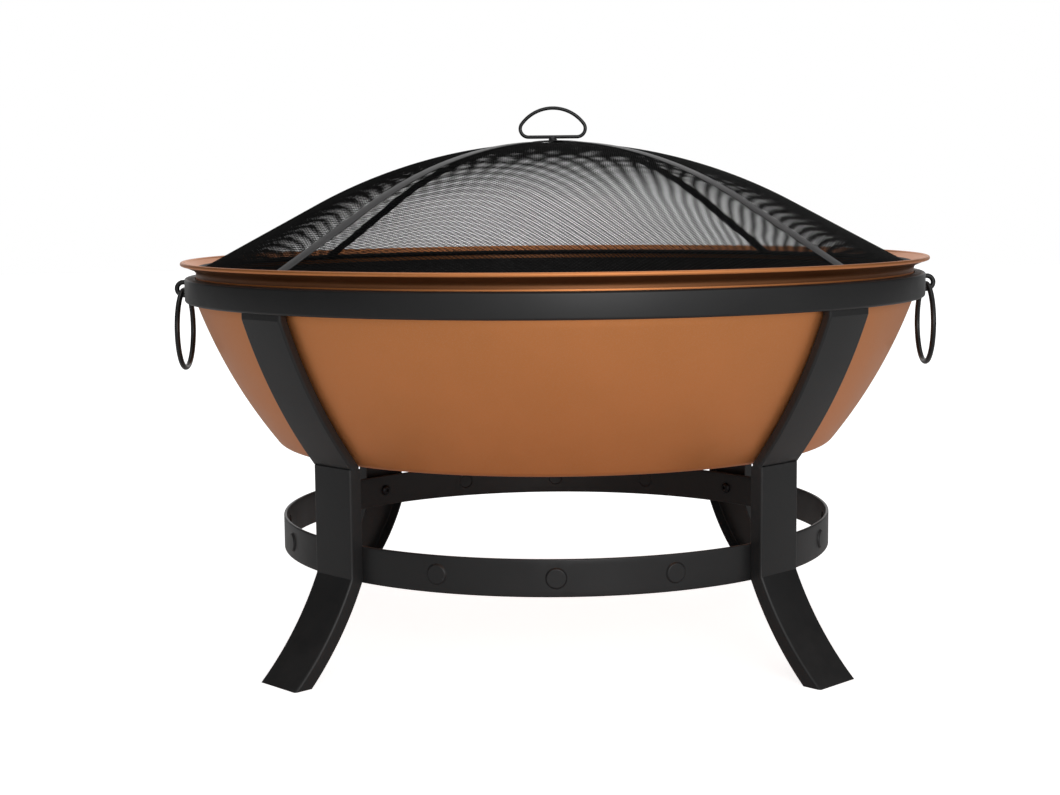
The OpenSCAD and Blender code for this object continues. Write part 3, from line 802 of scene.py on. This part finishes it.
def bowl():
    """Both faces of the sheet and the rolled bead that joins them."""
    slope = math.radians(flare_slope)
    out, up = np.array([math.cos(slope), math.sin(slope)]), np.array([-math.sin(slope), math.cos(slope)])
    middle_bend = np.array([bend_x, bend_z]) + (flare_bend_r + bowl_t / 2) * up
    bead = middle_bend + out * (rim_r - bead_r - middle_bend[0]) / math.cos(slope)
    turns = np.radians(np.linspace(-140, 140, 15))
    curl = np.array([bead + bead_r * (math.cos(t) * out + math.sin(t) * up) for t in turns])
    line = np.vstack([bowl_face(0.0), curl, bowl_face(bowl_t)[::-1]])
    return lathe([(z, r) for r, z in line], hoop_columns)


def ember_group():
    """Heat tint of a fired surface: soot where it is low, and pale ash in specks."""
    tree, given, out = new_group("soot and ash", {"Low": 0.2, "High": 0.35}, ["Soot", "Ash"])
    place = add(tree, "ShaderNodeTexCoord").outputs["Object"]
    height = add(tree, "ShaderNodeSeparateXYZ", Vector=place).outputs["Z"]
    clouds = add(tree, "ShaderNodeTexNoise", Vector=place, Scale=9.0, Detail=6.0, Roughness=0.65)
    low = spread(tree, height, 0.0, 1.0, given["High"], given["Low"])
    tree.links.new(scaled(tree, low, clouds.outputs["Fac"]), out["Soot"])
    specks = add(tree, "ShaderNodeTexNoise", Vector=place, Scale=420.0, Detail=2.0)
    tree.links.new(spread(tree, specks.outputs["Fac"], 0.0, 1.0, 0.62, 0.75), out["Ash"])
    return tree


soot_and_ash = ember_group()


def copper_paint(name, unshaded_share):
    """Metallic copper paint: fine flake, and a thin clear coat. The less the share given, the more painted
    shade darkens it toward near black.
    """
    material, tree, surface = new_coat(name)
    grain = use(tree, coat_grain, Peel_size=0.003, Grain_size=0.0006)
    worn = use(tree, edge_wear, Patch_size=0.01)
    dusty = use(tree, settled_dust)
    place = add(tree, "ShaderNodeTexCoord").outputs["Object"]
    flake = add(tree, "ShaderNodeTexVoronoi", Vector=place, Scale=1500.0)
    glint = add(tree, "ShaderNodeSeparateColor", Color=flake.outputs["Color"])
    body = mottled(tree, grain, (0.88, 0.328, 0.106), (0.92, 0.348, 0.118))
    body = blend(tree, spread(tree, glint.outputs["Red"], 0, 0.35, 0.6, 1.0), body, (0.90, 0.42, 0.2))
    body = blend(tree, scaled(tree, worn["Mask"], 0.25), body, (0.7, 0.38, 0.2))
    body = blend(tree, scaled(tree, dusty["Mask"], 0.06), body, (0.45, 0.4, 0.36))
    # Painted shade: one minus the share given blends the copper toward near black.
    body = blend(tree, 1 - unshaded_share, body, (0.02, 0.012, 0.008))
    surface.inputs["Metallic"].default_value = 0.85
    surface.inputs["Coat Weight"].default_value = 0.2
    surface.inputs["Coat Roughness"].default_value = 0.25
    surface.inputs["Specular IOR Level"].default_value = 0.5
    finish_coat(tree, surface, body, uneven(tree, grain, (0.40, 0.48)), grain["Height"], 0.00002)
    return material


def hearth_black():
    """Matt high-heat black with soot low down and specks of ash."""
    material, tree, surface = new_coat("matt heat-proof black")
    grain = use(tree, coat_grain, Peel_size=0.0012)
    fired = use(tree, soot_and_ash, Low=0.2, High=0.36)
    colour = mottled(tree, grain, (0.010, 0.0095, 0.009), (0.017, 0.016, 0.015))
    colour = blend(tree, fired["Soot"], colour, (0.006, 0.006, 0.006))
    colour = blend(tree, scaled(tree, fired["Ash"], 0.25), colour, (0.09, 0.085, 0.08))
    finish_coat(tree, surface, colour, uneven(tree, grain, (0.6, 0.8)), grain["Height"], 0.00004)
    return material


bowl_piece = make("bowl_shell", bowl(), "bowl", copper_paint("satin copper paint", 1.0),
                  ["bowl"], 14)
for coat in (hearth_black(), copper_paint("copper paint darkened by painted shade", 0.3)):
    bowl_piece.data.materials.append(coat)
# Index 1 is the black inside. Index 2 is copper darkened by painted shade: inside round the bend under the rim,
# and outside on the upper neck and the flare's underside.
black_below = bend_z - 2 * MM
flare_starts = bend_x + 1 * MM
flare_ends = rim_r - 2 * bead_r
for face in bowl_piece.data.polygons:
    middle, normal = face.center, face.normal
    r = math.hypot(middle.x, middle.y)
    inside = normal.z - (normal.x * middle.x + normal.y * middle.y) / r > 0
    if inside and middle.z < black_below:
        face.material_index = 1
    elif inside and r < flare_starts:
        face.material_index = 2
    elif not inside and middle.z > painted_shade_line and r < flare_ends:
        face.material_index = 2

# ---- log grate ----
# Loose grate of 8 mm rod in the bottom of the bowl: a hoop and two cross rods, nine bars laid over
# them, and four feet. Every crossing is welded; painted with matt heat-proof black.
hoop_low, hoop_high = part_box("grate_hoop")
rod_r = (hoop_high.z - hoop_low.z) / 2
grate_r = hoop_high.x - rod_r
grate_hoop_z = hoop_low.z + rod_r
grate_bar_z = grate_hoop_z + 2 * rod_r
bar_pitch = 46 * MM
bar_count = 9
bar_xs = [(i - (bar_count - 1) / 2) * bar_pitch for i in range(bar_count)]
cross_y = grate_r / 2


def blob(x, y, z, size):
    """A spot of weld at a crossing."""
    rows = [(size * math.cos(t), size * math.sin(t)) for t in np.linspace(math.pi, 0, 9)]
    points, faces = lathe(rows, 14)
    lumps = 1 + 0.1 * np.sin(5 * np.arctan2(points[:, 1], points[:, 0]) + 40 * x + 25 * y)
    return points * np.stack([lumps, lumps, np.full(len(points), 0.62)], axis=1) + [x, y, z], faces


def hoop(r, z, wire_r, count=180):
    """A level hoop of round wire about the axis."""
    return tube(level_ring(r, z, count), wire_r, closed=True)


def grate_bar(x):
    """A bar from side to side of the hoop, welded where it crosses the hoop and the rods."""
    half = math.sqrt(grate_r ** 2 - x ** 2)
    path = [(x, y, grate_bar_z) for y in np.linspace(-half, half, 9)]
    welds = [blob(x, y, grate_bar_z - rod_r, 0.55 * rod_r * 2)
             for y in (-half + rod_r, -cross_y, cross_y, half - rod_r) if abs(y) < half]
    return together([tube(path, rod_r, 20, nose=1 * MM), *welds])


def cross_rod(y):
    """A rod inside the hoop that the bars lie on, welded to the hoop at both ends."""
    half = math.sqrt((grate_r - rod_r) ** 2 - (abs(y) + rod_r) ** 2)
    path = [(x, y, grate_hoop_z) for x in np.linspace(-half, half, 9)]
    welds = [blob(side * half, y, grate_hoop_z, 0.6 * rod_r * 2) for side in (-1, 1)]
    return together([tube(path, rod_r, 20), *welds])


def grate_foot(turn):
    """A short upright rod, welded under the hoop."""
    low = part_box("grate_feet")[0].z
    x, y = grate_r * math.cos(turn), grate_r * math.sin(turn)
    path = [(x, y, z) for z in np.linspace(low, grate_hoop_z - 0.5 * rod_r, 5)]
    return together([tube(path, rod_r, 20, nose=1.2 * MM), blob(x, y, grate_hoop_z - rod_r, 0.65 * rod_r * 2)])


grate_black = coated_steel(
    "matt black on rod", (0.011, 0.0105, 0.010), (0.02, 0.019, 0.018), (0.10, 0.07, 0.05), (0.55, 0.75),
    peel_size=0.0015, peel_depth=0.00005, wear=0.4, dust=0.25)
make("fire_grate_hoop", hoop(grate_r, grate_hoop_z, rod_r), "grate", grate_black,
     ["grate_hoop"], 60)
make("fire_grate_bars", together([grate_bar(x) for x in bar_xs]), "grate", grate_black,
     ["grate_bars"], 60)
make("fire_grate_cross_rods", together([cross_rod(side * cross_y) for side in (-1, 1)]), "grate",
     grate_black, ["grate_cross_rods"], 60)
make("fire_grate_feet", together([grate_foot(turn) for turn in leg_turns.values()]), "grate",
     grate_black, ["grate_feet"], 60)

# ---- screen hoop ----
# Round wire hoop under the spark screen's edge; it rests inside the bowl's flared rim.
wire_low, wire_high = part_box("screen_hoop")
hoop_wire_r = (wire_high.z - wire_low.z) / 2
hoop_r = wire_high.x - hoop_wire_r
hoop_z = wire_low.z + hoop_wire_r
mesh_black = coated_steel(
    "black on expanded mesh", (0.005, 0.005, 0.005), (0.008, 0.008, 0.008), (0.04, 0.04, 0.04), (0.45, 0.6),
    peel_size=0.0008, peel_depth=0.00001, wear=0.2, dust=0.03, shine=0.2)
make("screen_wire_hoop", hoop(hoop_r, hoop_z, hoop_wire_r, 240), "screen", mesh_black,
     ["screen_hoop"], 60)

# ---- spark screen ----
# Expanded steel mesh: slit and stretched into diamonds, then pressed to a shallow dome with a straight
# skirt, and tacked to the hoop. The strands lie slightly tilted, as stretching leaves them.
dome_r = 513 * MM
skirt_slope = math.radians(28.3)
mesh_t = 1.2 * MM
short_pitch = 4.1 * MM
long_pitch = 4.7 * MM
strand_w = 0.28 * MM
strand_t = 0.42 * MM
strand_tilt = 0.18 * MM
skirt_x = hoop_r - hoop_wire_r
dome_edge_x = dome_r * math.sin(skirt_slope)
dome_edge_z = hoop_z + (skirt_x - dome_edge_x) * math.tan(skirt_slope)
dome_z = dome_edge_z - dome_r * math.cos(skirt_slope)


def on_dome(x, y, lift):
    """Points over plan positions, lifted square off the screen's outer face."""
    r = np.hypot(x, y)
    slope = np.minimum(np.arcsin(np.clip(r / dome_r, 0, 0.99)), skirt_slope)
    height = np.where(r < dome_edge_x, dome_z + dome_r * np.cos(slope),
                      dome_edge_z - (r - dome_edge_x) * math.tan(skirt_slope))
    out = lift * np.sin(slope) / np.maximum(r, 1e-9)
    return np.stack([x + x * out, y + y * out, height + lift * np.cos(slope)], axis=1)


def mesh_lattice():
    """Every diamond opening of the sheet: its four corners on the upper and on the lower face."""
    reach_p = int(hoop_r / short_pitch * 2) + 3
    reach_q = int(hoop_r / long_pitch * 2) + 3
    p, q = np.meshgrid(np.arange(-reach_p, reach_p + 1), np.arange(-reach_q, reach_q + 1), indexing="ij")
    keep = (p + q) % 2 == 0
    p, q = p[keep], q[keep]
    x, y = p * short_pitch / 2, q * long_pitch / 2
    inside = np.hypot(x, y) < hoop_r + short_pitch / 2
    p, q, x, y = p[inside], q[inside], x[inside], y[inside]
    half_diagonal = math.hypot(short_pitch, long_pitch) / 2
    inset = 1 - strand_w / 2 / (short_pitch * long_pitch / 4 / half_diagonal)
    corners = [(1, 0, -1), (0, 1, 0), (-1, 0, 1), (0, -1, 0)]
    layers = []
    for face in (1, -1):
        for across, along, tilt in corners:
            cx = x + across * short_pitch / 2 * inset
            cy = y + along * long_pitch / 2 * inset
            r = np.hypot(cx, cy)
            held = np.minimum(1, (hoop_r - 1 * MM) / np.maximum(r, 1e-9))
            cx, cy = cx * held, cy * held
            wander = 0.18 * MM * np.sin(37 * cx + 3 * np.sin(29 * cy)) * np.sin(41 * cy + 1.3)
            lift = -mesh_t / 2 + face * strand_t / 2 + tilt * strand_tilt + wander
            layers.append(on_dome(cx, cy, lift))
    points = np.stack(layers, axis=1)
    return p, q, x, y, points.reshape(-1, 3)


def mesh_faces(p, q):
    """Quads round each opening, over its two own strands and over the knuckle on its right."""
    offset_p, offset_q = -p.min() + 3, -q.min() + 3
    index = np.full((p.max() + offset_p + 4, q.max() + offset_q + 4), -1)
    index[p + offset_p, q + offset_q] = np.arange(len(p))

    def neighbour(dp, dq):
        return index[p + offset_p + dp, q + offset_q + dq]

    here, up, down, right = np.arange(len(p)), neighbour(1, 1), neighbour(1, -1), neighbour(2, 0)
    east, north, west, south = 0, 1, 2, 3
    quads, owners = [], []

    def lay(corners, flip):
        """One quad for each opening whose neighbours exist."""
        known = np.all([c[0] >= 0 for c in corners], axis=0)
        quad = np.stack([c[0] * 8 + c[1] for c in corners], axis=1)[known]
        quads.append(quad[:, ::-1] if flip else quad)
        owners.append(here[known])

    for k in range(4):
        n = (k + 1) % 4
        lay([(here, k), (here, 4 + k), (here, 4 + n), (here, n)], True)
    for layer, flip in ((0, False), (4, True)):
        lay([(here, layer + east), (up, layer + south), (up, layer + west), (here, layer + north)], flip)
        lay([(here, layer + south), (down, layer + west), (down, layer + north), (here, layer + east)], flip)
        lay([(here, layer + east), (down, layer + north), (right, layer + west), (up, layer + south)], flip)
    return np.vstack(quads), np.concatenate(owners)


rib_turns = [math.radians(46), math.radians(137)]
halfway = sum(rib_turns) / 2
cross_turns = [rib_turns[0], halfway, rib_turns[1], halfway + math.pi / 2]
gore_edges = cross_turns + [turn + math.pi for turn in cross_turns]
gore_names = ["back_right", "back_left", "left_back", "left_front",
              "front_left", "front_right", "right_front", "right_back"]


def mesh_gore(name, points, quads):
    """One sector of the sheet, as a piece."""
    used, quads = np.unique(quads, return_inverse=True)
    quads = quads.reshape(-1, 4)
    mesh = bpy.data.meshes.new(name)
    mesh.vertices.add(len(used))
    mesh.vertices.foreach_set("co", points[used].ravel())
    mesh.loops.add(quads.size)
    mesh.loops.foreach_set("vertex_index", quads.ravel().astype(np.int32))
    mesh.polygons.add(len(quads))
    mesh.polygons.foreach_set("loop_start", np.arange(0, quads.size, 4, dtype=np.int32))
    mesh.update(calc_edges=True)
    mesh.validate()
    mesh.shade_flat()
    piece = bpy.data.objects.new(name, mesh)
    bpy.context.scene.collection.objects.link(piece)
    mesh.materials.append(mesh_black)
    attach(piece, "screen")
    return piece


lattice_p, lattice_q, lattice_x, lattice_y, lattice_points = mesh_lattice()
lattice_quads, lattice_owners = mesh_faces(lattice_p, lattice_q)
azimuth = np.arctan2(lattice_y, lattice_x)[lattice_owners]
for start, end, name in zip(gore_edges, gore_edges[1:] + gore_edges[:1], gore_names):
    width = (end - start) % (2 * math.pi)
    inside = (azimuth - start) % (2 * math.pi) < width
    gore = mesh_gore("spark_mesh_" + name, lattice_points, lattice_quads[inside])
    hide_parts("screen_mesh")

# ---- ribs ----
# Two flat strips cross over the dome and hold the mesh down; each end is curled over the hoop and
# tacked. The upper strip steps over the lower one in the middle, where the handle's screw clamps both.
rib_w = 15 * MM
rib_t = 1 * MM


def rib_line(lift_mid):
    """Middle line of a strip from end to end: radius and height, and which way is off the mesh."""
    rs = np.linspace(0, skirt_x, 60)
    lift = rib_t / 2 + lift_mid / (1 + (rs / (26 * MM)) ** 6)
    half = on_dome(rs, np.zeros_like(rs), lift)[:, [0, 2]]
    slopes = np.minimum(np.arcsin(np.clip(rs / dome_r, 0, 0.99)), skirt_slope)
    normals = np.stack([np.sin(slopes), np.cos(slopes)], axis=1)
    curl_turns = np.linspace(math.pi / 2 - skirt_slope, math.radians(24), 7)[1:]
    curl_normals = np.stack([np.cos(curl_turns), np.sin(curl_turns)], axis=1)
    curl = np.array([hoop_r, hoop_z]) + (hoop_wire_r + rib_t / 2) * curl_normals
    half = np.vstack([half, curl])
    normals = np.vstack([normals, curl_normals])
    line = np.vstack([half[:0:-1] * [-1, 1], half])
    return line, np.vstack([normals[:0:-1] * [-1, 1], normals])


def rib(turn, lift_mid):
    """A strip with eased edges along its line, tacked to the hoop at both ends."""
    line, normals = rib_line(lift_mid)
    half_w, half_t, ease = rib_w / 2, rib_t / 2, 0.3 * MM
    section = np.vstack([arc(sx * (half_w - ease), sz * (half_t - ease), ease, start, start + 90, 3)
                         for sx, sz, start in ((1, 1, 0), (-1, 1, 90), (-1, -1, 180), (1, -1, 270))])
    rings = []
    for point, normal in zip(line, normals):
        rings.append(np.stack([point[0] + normal[0] * section[:, 1], section[:, 0],
                               point[1] + normal[1] * section[:, 1]], axis=1))
    tacks = [weld_run((side * (hoop_r + 2.0 * MM), -4 * MM, hoop_z + 2.2 * MM),
                      (side * (hoop_r + 2.0 * MM), 4 * MM, hoop_z + 2.2 * MM), 0.9 * MM, 5) for side in (-1, 1)]
    return turned(together([skin(rings), *tacks]), turn)


# Painted highlight: the strip's black coat is set to a dark grey, far lighter than the other black coats, in
# place of the sheen on its satin face.
strip_coat_with_painted_highlight = coated_steel(
    "satin black on strip, lightened as painted highlight", (0.05, 0.05, 0.0505), (0.064, 0.064, 0.065), (0.14, 0.14, 0.14), (0.36, 0.46),
    peel_size=0.002, peel_depth=0.00002)
make("rib_strip_lower", rib(rib_turns[0], 0.0), "screen", strip_coat_with_painted_highlight, ["rib_lower"], 40)
make("rib_strip_upper", rib(rib_turns[1], rib_t), "screen", strip_coat_with_painted_highlight, ["rib_upper"], 40)

# ---- screen handle ----
# A rod bent to a D and welded to a short boss, held from below by a screw and a wide washer that clamp
# the mesh and both ribs.
loop_low, loop_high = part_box("handle_loop")
loop_rod_r = (loop_high.y - loop_low.y) / 2
loop_corner_r = 8.5 * MM
loop_base_z = loop_low.z + loop_rod_r
loop_corner_x = loop_high.x - loop_rod_r - loop_corner_r
loop_lift = loop_high.z - loop_low.z - 2 * loop_rod_r - loop_corner_r
loop_top_r = (loop_corner_x ** 2 + loop_lift ** 2 - loop_corner_r ** 2) / (2 * (loop_lift - loop_corner_r))
loop_top_z = loop_high.z - loop_rod_r - loop_top_r
loop_turn = math.degrees(math.atan2(loop_base_z + loop_corner_r - loop_top_z, loop_corner_x))


def handle_loop():
    """The D: two rounded corners, an arched top and a straight base."""
    corner_z = loop_base_z + loop_corner_r
    line = np.vstack([
        arc(loop_corner_x, corner_z, loop_corner_r, -90, loop_turn, 16),
        arc(0, loop_top_z, loop_top_r, loop_turn, 180 - loop_turn, 40)[1:-1],
        arc(-loop_corner_x, corner_z, loop_corner_r, 180 - loop_turn, 270, 16),
        np.stack([np.linspace(-loop_corner_x, loop_corner_x, 12)[1:-1], np.full(10, loop_base_z)], axis=1),
    ])
    path = np.stack([line[:, 0], np.zeros(len(line)), line[:, 1]], axis=1)
    return tube(path, loop_rod_r, 24, closed=True)


def handle_boss():
    """Short turned stub with a fillet of weld where the rod sits in it."""
    low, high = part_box("handle_boss")
    r = (high.x - low.x) / 2
    top = loop_base_z
    rows = [(low.z, 0.0), (low.z, r - 0.3 * MM), (low.z + 0.3 * MM, r), (low.z + 1.0 * MM, r),
            (low.z + 1.5 * MM, r - 0.5 * MM), (top - 1.2 * MM, r - 0.9 * MM), (top - 0.2 * MM, r - 1.8 * MM),
            (top + 0.2 * MM, 0.0)]
    return lathe(rows)


def clamp_washer():
    """The wide washer under the mesh, in its place."""
    low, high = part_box("handle_washer")
    points, faces = washer((high.x - low.x) / 2, 2.6 * MM, high.z - low.z)
    return points + [0, 0, low.z], faces


def clamp_screw():
    """Pan-head screw from below: cross recess, domed head, threaded shank."""
    low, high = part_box("handle_screw")
    r = 5 * MM
    turns = np.arange(around) * 2 * math.pi / around
    cross = np.where(np.abs((turns % (math.pi / 2)) - math.pi / 4) > math.pi / 4 - 0.3, 2.6 * MM, 1.0 * MM)
    rows = [(low.z + 1.6 * MM, 0.0), (low.z + 1.5 * MM, cross * 0.6), (low.z, cross)]
    for turn in np.radians(np.linspace(75, 0, 7)):
        rows.append((low.z + 2.6 * MM * (1 - math.sin(turn)) * 0.9, 3 * MM + 2 * MM * math.cos(turn)))
    rows += [(low.z + head_h, r), (low.z + head_h, 2.5 * MM)]
    rows += thread_rows(low.z + head_h + 0.3 * MM, high.z - 0.5 * MM, 2.5 * MM)
    rows += [(high.z, 1.7 * MM), (high.z, 0.0)]
    return lathe(rows)


make("lift_handle", handle_loop(), "screen", wire_black, ["handle_loop"], 60)
make("lift_handle_boss", handle_boss(), "screen", wire_black, ["handle_boss"], 50)
make("clamp_washer", clamp_washer(), "screen", black_zinc, ["handle_washer"], 35)
make("clamp_screw", clamp_screw(), "screen", black_zinc, ["handle_screw"], 35)

# ---- studio ----
# Plain pale floor that fades to white, a white backdrop behind the object, darker sides, and soft
# boxes in front and overhead.


def studio_floor():
    """A wide round floor that the camera sees as white away from the object."""
    mesh = bpy.data.meshes.new("floor")
    edge = [tuple(point) for point in level_ring(floor_r, 0.0, 64)]
    mesh.from_pydata(edge, [], [tuple(range(len(edge)))])
    material, tree, surface = new_coat("pale floor")
    place = add(tree, "ShaderNodeTexCoord").outputs["Object"]
    slow = add(tree, "ShaderNodeTexNoise", Vector=place, Scale=2.0)
    colour = blend(tree, slow.outputs["Fac"], (0.84, 0.84, 0.84), (0.86, 0.86, 0.86))
    away = add(tree, "ShaderNodeVectorMath", {"operation": "LENGTH"})
    tree.links.new(place, away.inputs[0])
    glow = spread(tree, away.outputs["Value"], floor_glow_near, floor_glow_far, 0.4, 1.6)
    tree.links.new(colour, surface.inputs["Base Color"])
    surface.inputs["Roughness"].default_value = 0.8
    surface.inputs["Specular IOR Level"].default_value = 0.2
    glow_shown = scaled(tree, glow, add(tree, "ShaderNodeLightPath").outputs["Is Camera Ray"])
    tree.links.new(blend(tree, glow_shown, (0, 0, 0), (1, 1, 1)), surface.inputs["Emission Color"])
    surface.inputs["Emission Strength"].default_value = 1.0
    mesh.materials.append(material)
    floor = bpy.data.objects.new("floor", mesh)
    bpy.context.scene.collection.objects.link(floor)


def soft_box(name, place, aim, size, power):
    """A rectangular area light, width and height, aimed at a point."""
    light = bpy.data.lights.new(name, "AREA")
    light.shape = "RECTANGLE"
    light.size, light.size_y = size
    light.energy = power
    lamp = bpy.data.objects.new(name, light)
    lamp.location = place
    lamp.rotation_euler = (Vector(aim) - Vector(place)).to_track_quat("-Z", "Y").to_euler()
    bpy.context.scene.collection.objects.link(lamp)


def toward(tree, direction, aim, start, end):
    """A mask that is 1 where the view heads along aim and falls to 0 away from it."""
    made = add(tree, "ShaderNodeVectorMath", {"operation": "DOT_PRODUCT"})
    tree.links.new(direction, made.inputs[0])
    made.inputs[1].default_value = Vector(aim).normalized()
    return spread(tree, made.outputs["Value"], 0.0, 1.0, start, end)


def surround():
    """White to the camera; to the object, bright in front and behind and darker at the sides."""
    world = bpy.data.worlds.new("studio surround")
    bpy.context.scene.world = world
    world.use_nodes = True
    tree = world.node_tree
    background = tree.nodes["Background"]
    direction = add(tree, "ShaderNodeTexCoord").outputs["Generated"]
    seen = blend(tree, toward(tree, direction, (0.35, -1, 0.1), 0.25, 0.95), side_grey, front_grey)
    seen = blend(tree, toward(tree, direction, (0, 0, 1), 0.55, 0.9), seen, ceiling_grey)
    seen = blend(tree, toward(tree, direction, (0, 1, 0.05), 0.8, 0.95), seen, (1.0, 1.0, 1.0))
    shown = blend(tree, add(tree, "ShaderNodeLightPath").outputs["Is Camera Ray"], seen, (1.0, 1.0, 1.0))
    tree.links.new(shown, background.inputs["Color"])
    background.inputs["Strength"].default_value = 1.0


side_grey = (0.06, 0.06, 0.06)
front_grey = (0.85, 0.85, 0.85)
ceiling_grey = (0.3, 0.3, 0.3)
floor_r = 9.0
floor_glow_near = 0.85
floor_glow_far = 1.0
studio_floor()
surround()
soft_box("key light", (0.7, -3.2, 1.0), (0, 0, 0.25), (1.6, 1.2), 18)
soft_box("top light", (0.0, 0.3, 3.0), (0, 0, 0.3), (2.4, 2.4), 12)
bpy.context.scene.view_settings.view_transform = "Standard"

# ---- camera ----
# Level with the lip of the screen and a little above the bowl, looking slightly down.
camera = bpy.data.objects.new("camera", bpy.data.cameras.new("camera"))
camera.data.sensor_width = 36
camera.data.lens = 60.0520755
camera.location = (-0.00025, -1.8398, 0.4501)
pitch, yaw, roll = 0.1152, 0.014, 0.0095
camera.rotation_euler = (
    Matrix.Rotation(yaw, 3, "Z") @ Matrix.Rotation(math.pi / 2 - pitch, 3, "X") @ Matrix.Rotation(-roll, 3, "Z")
).to_euler()
bpy.context.scene.collection.objects.link(camera)
bpy.context.scene.camera = camera
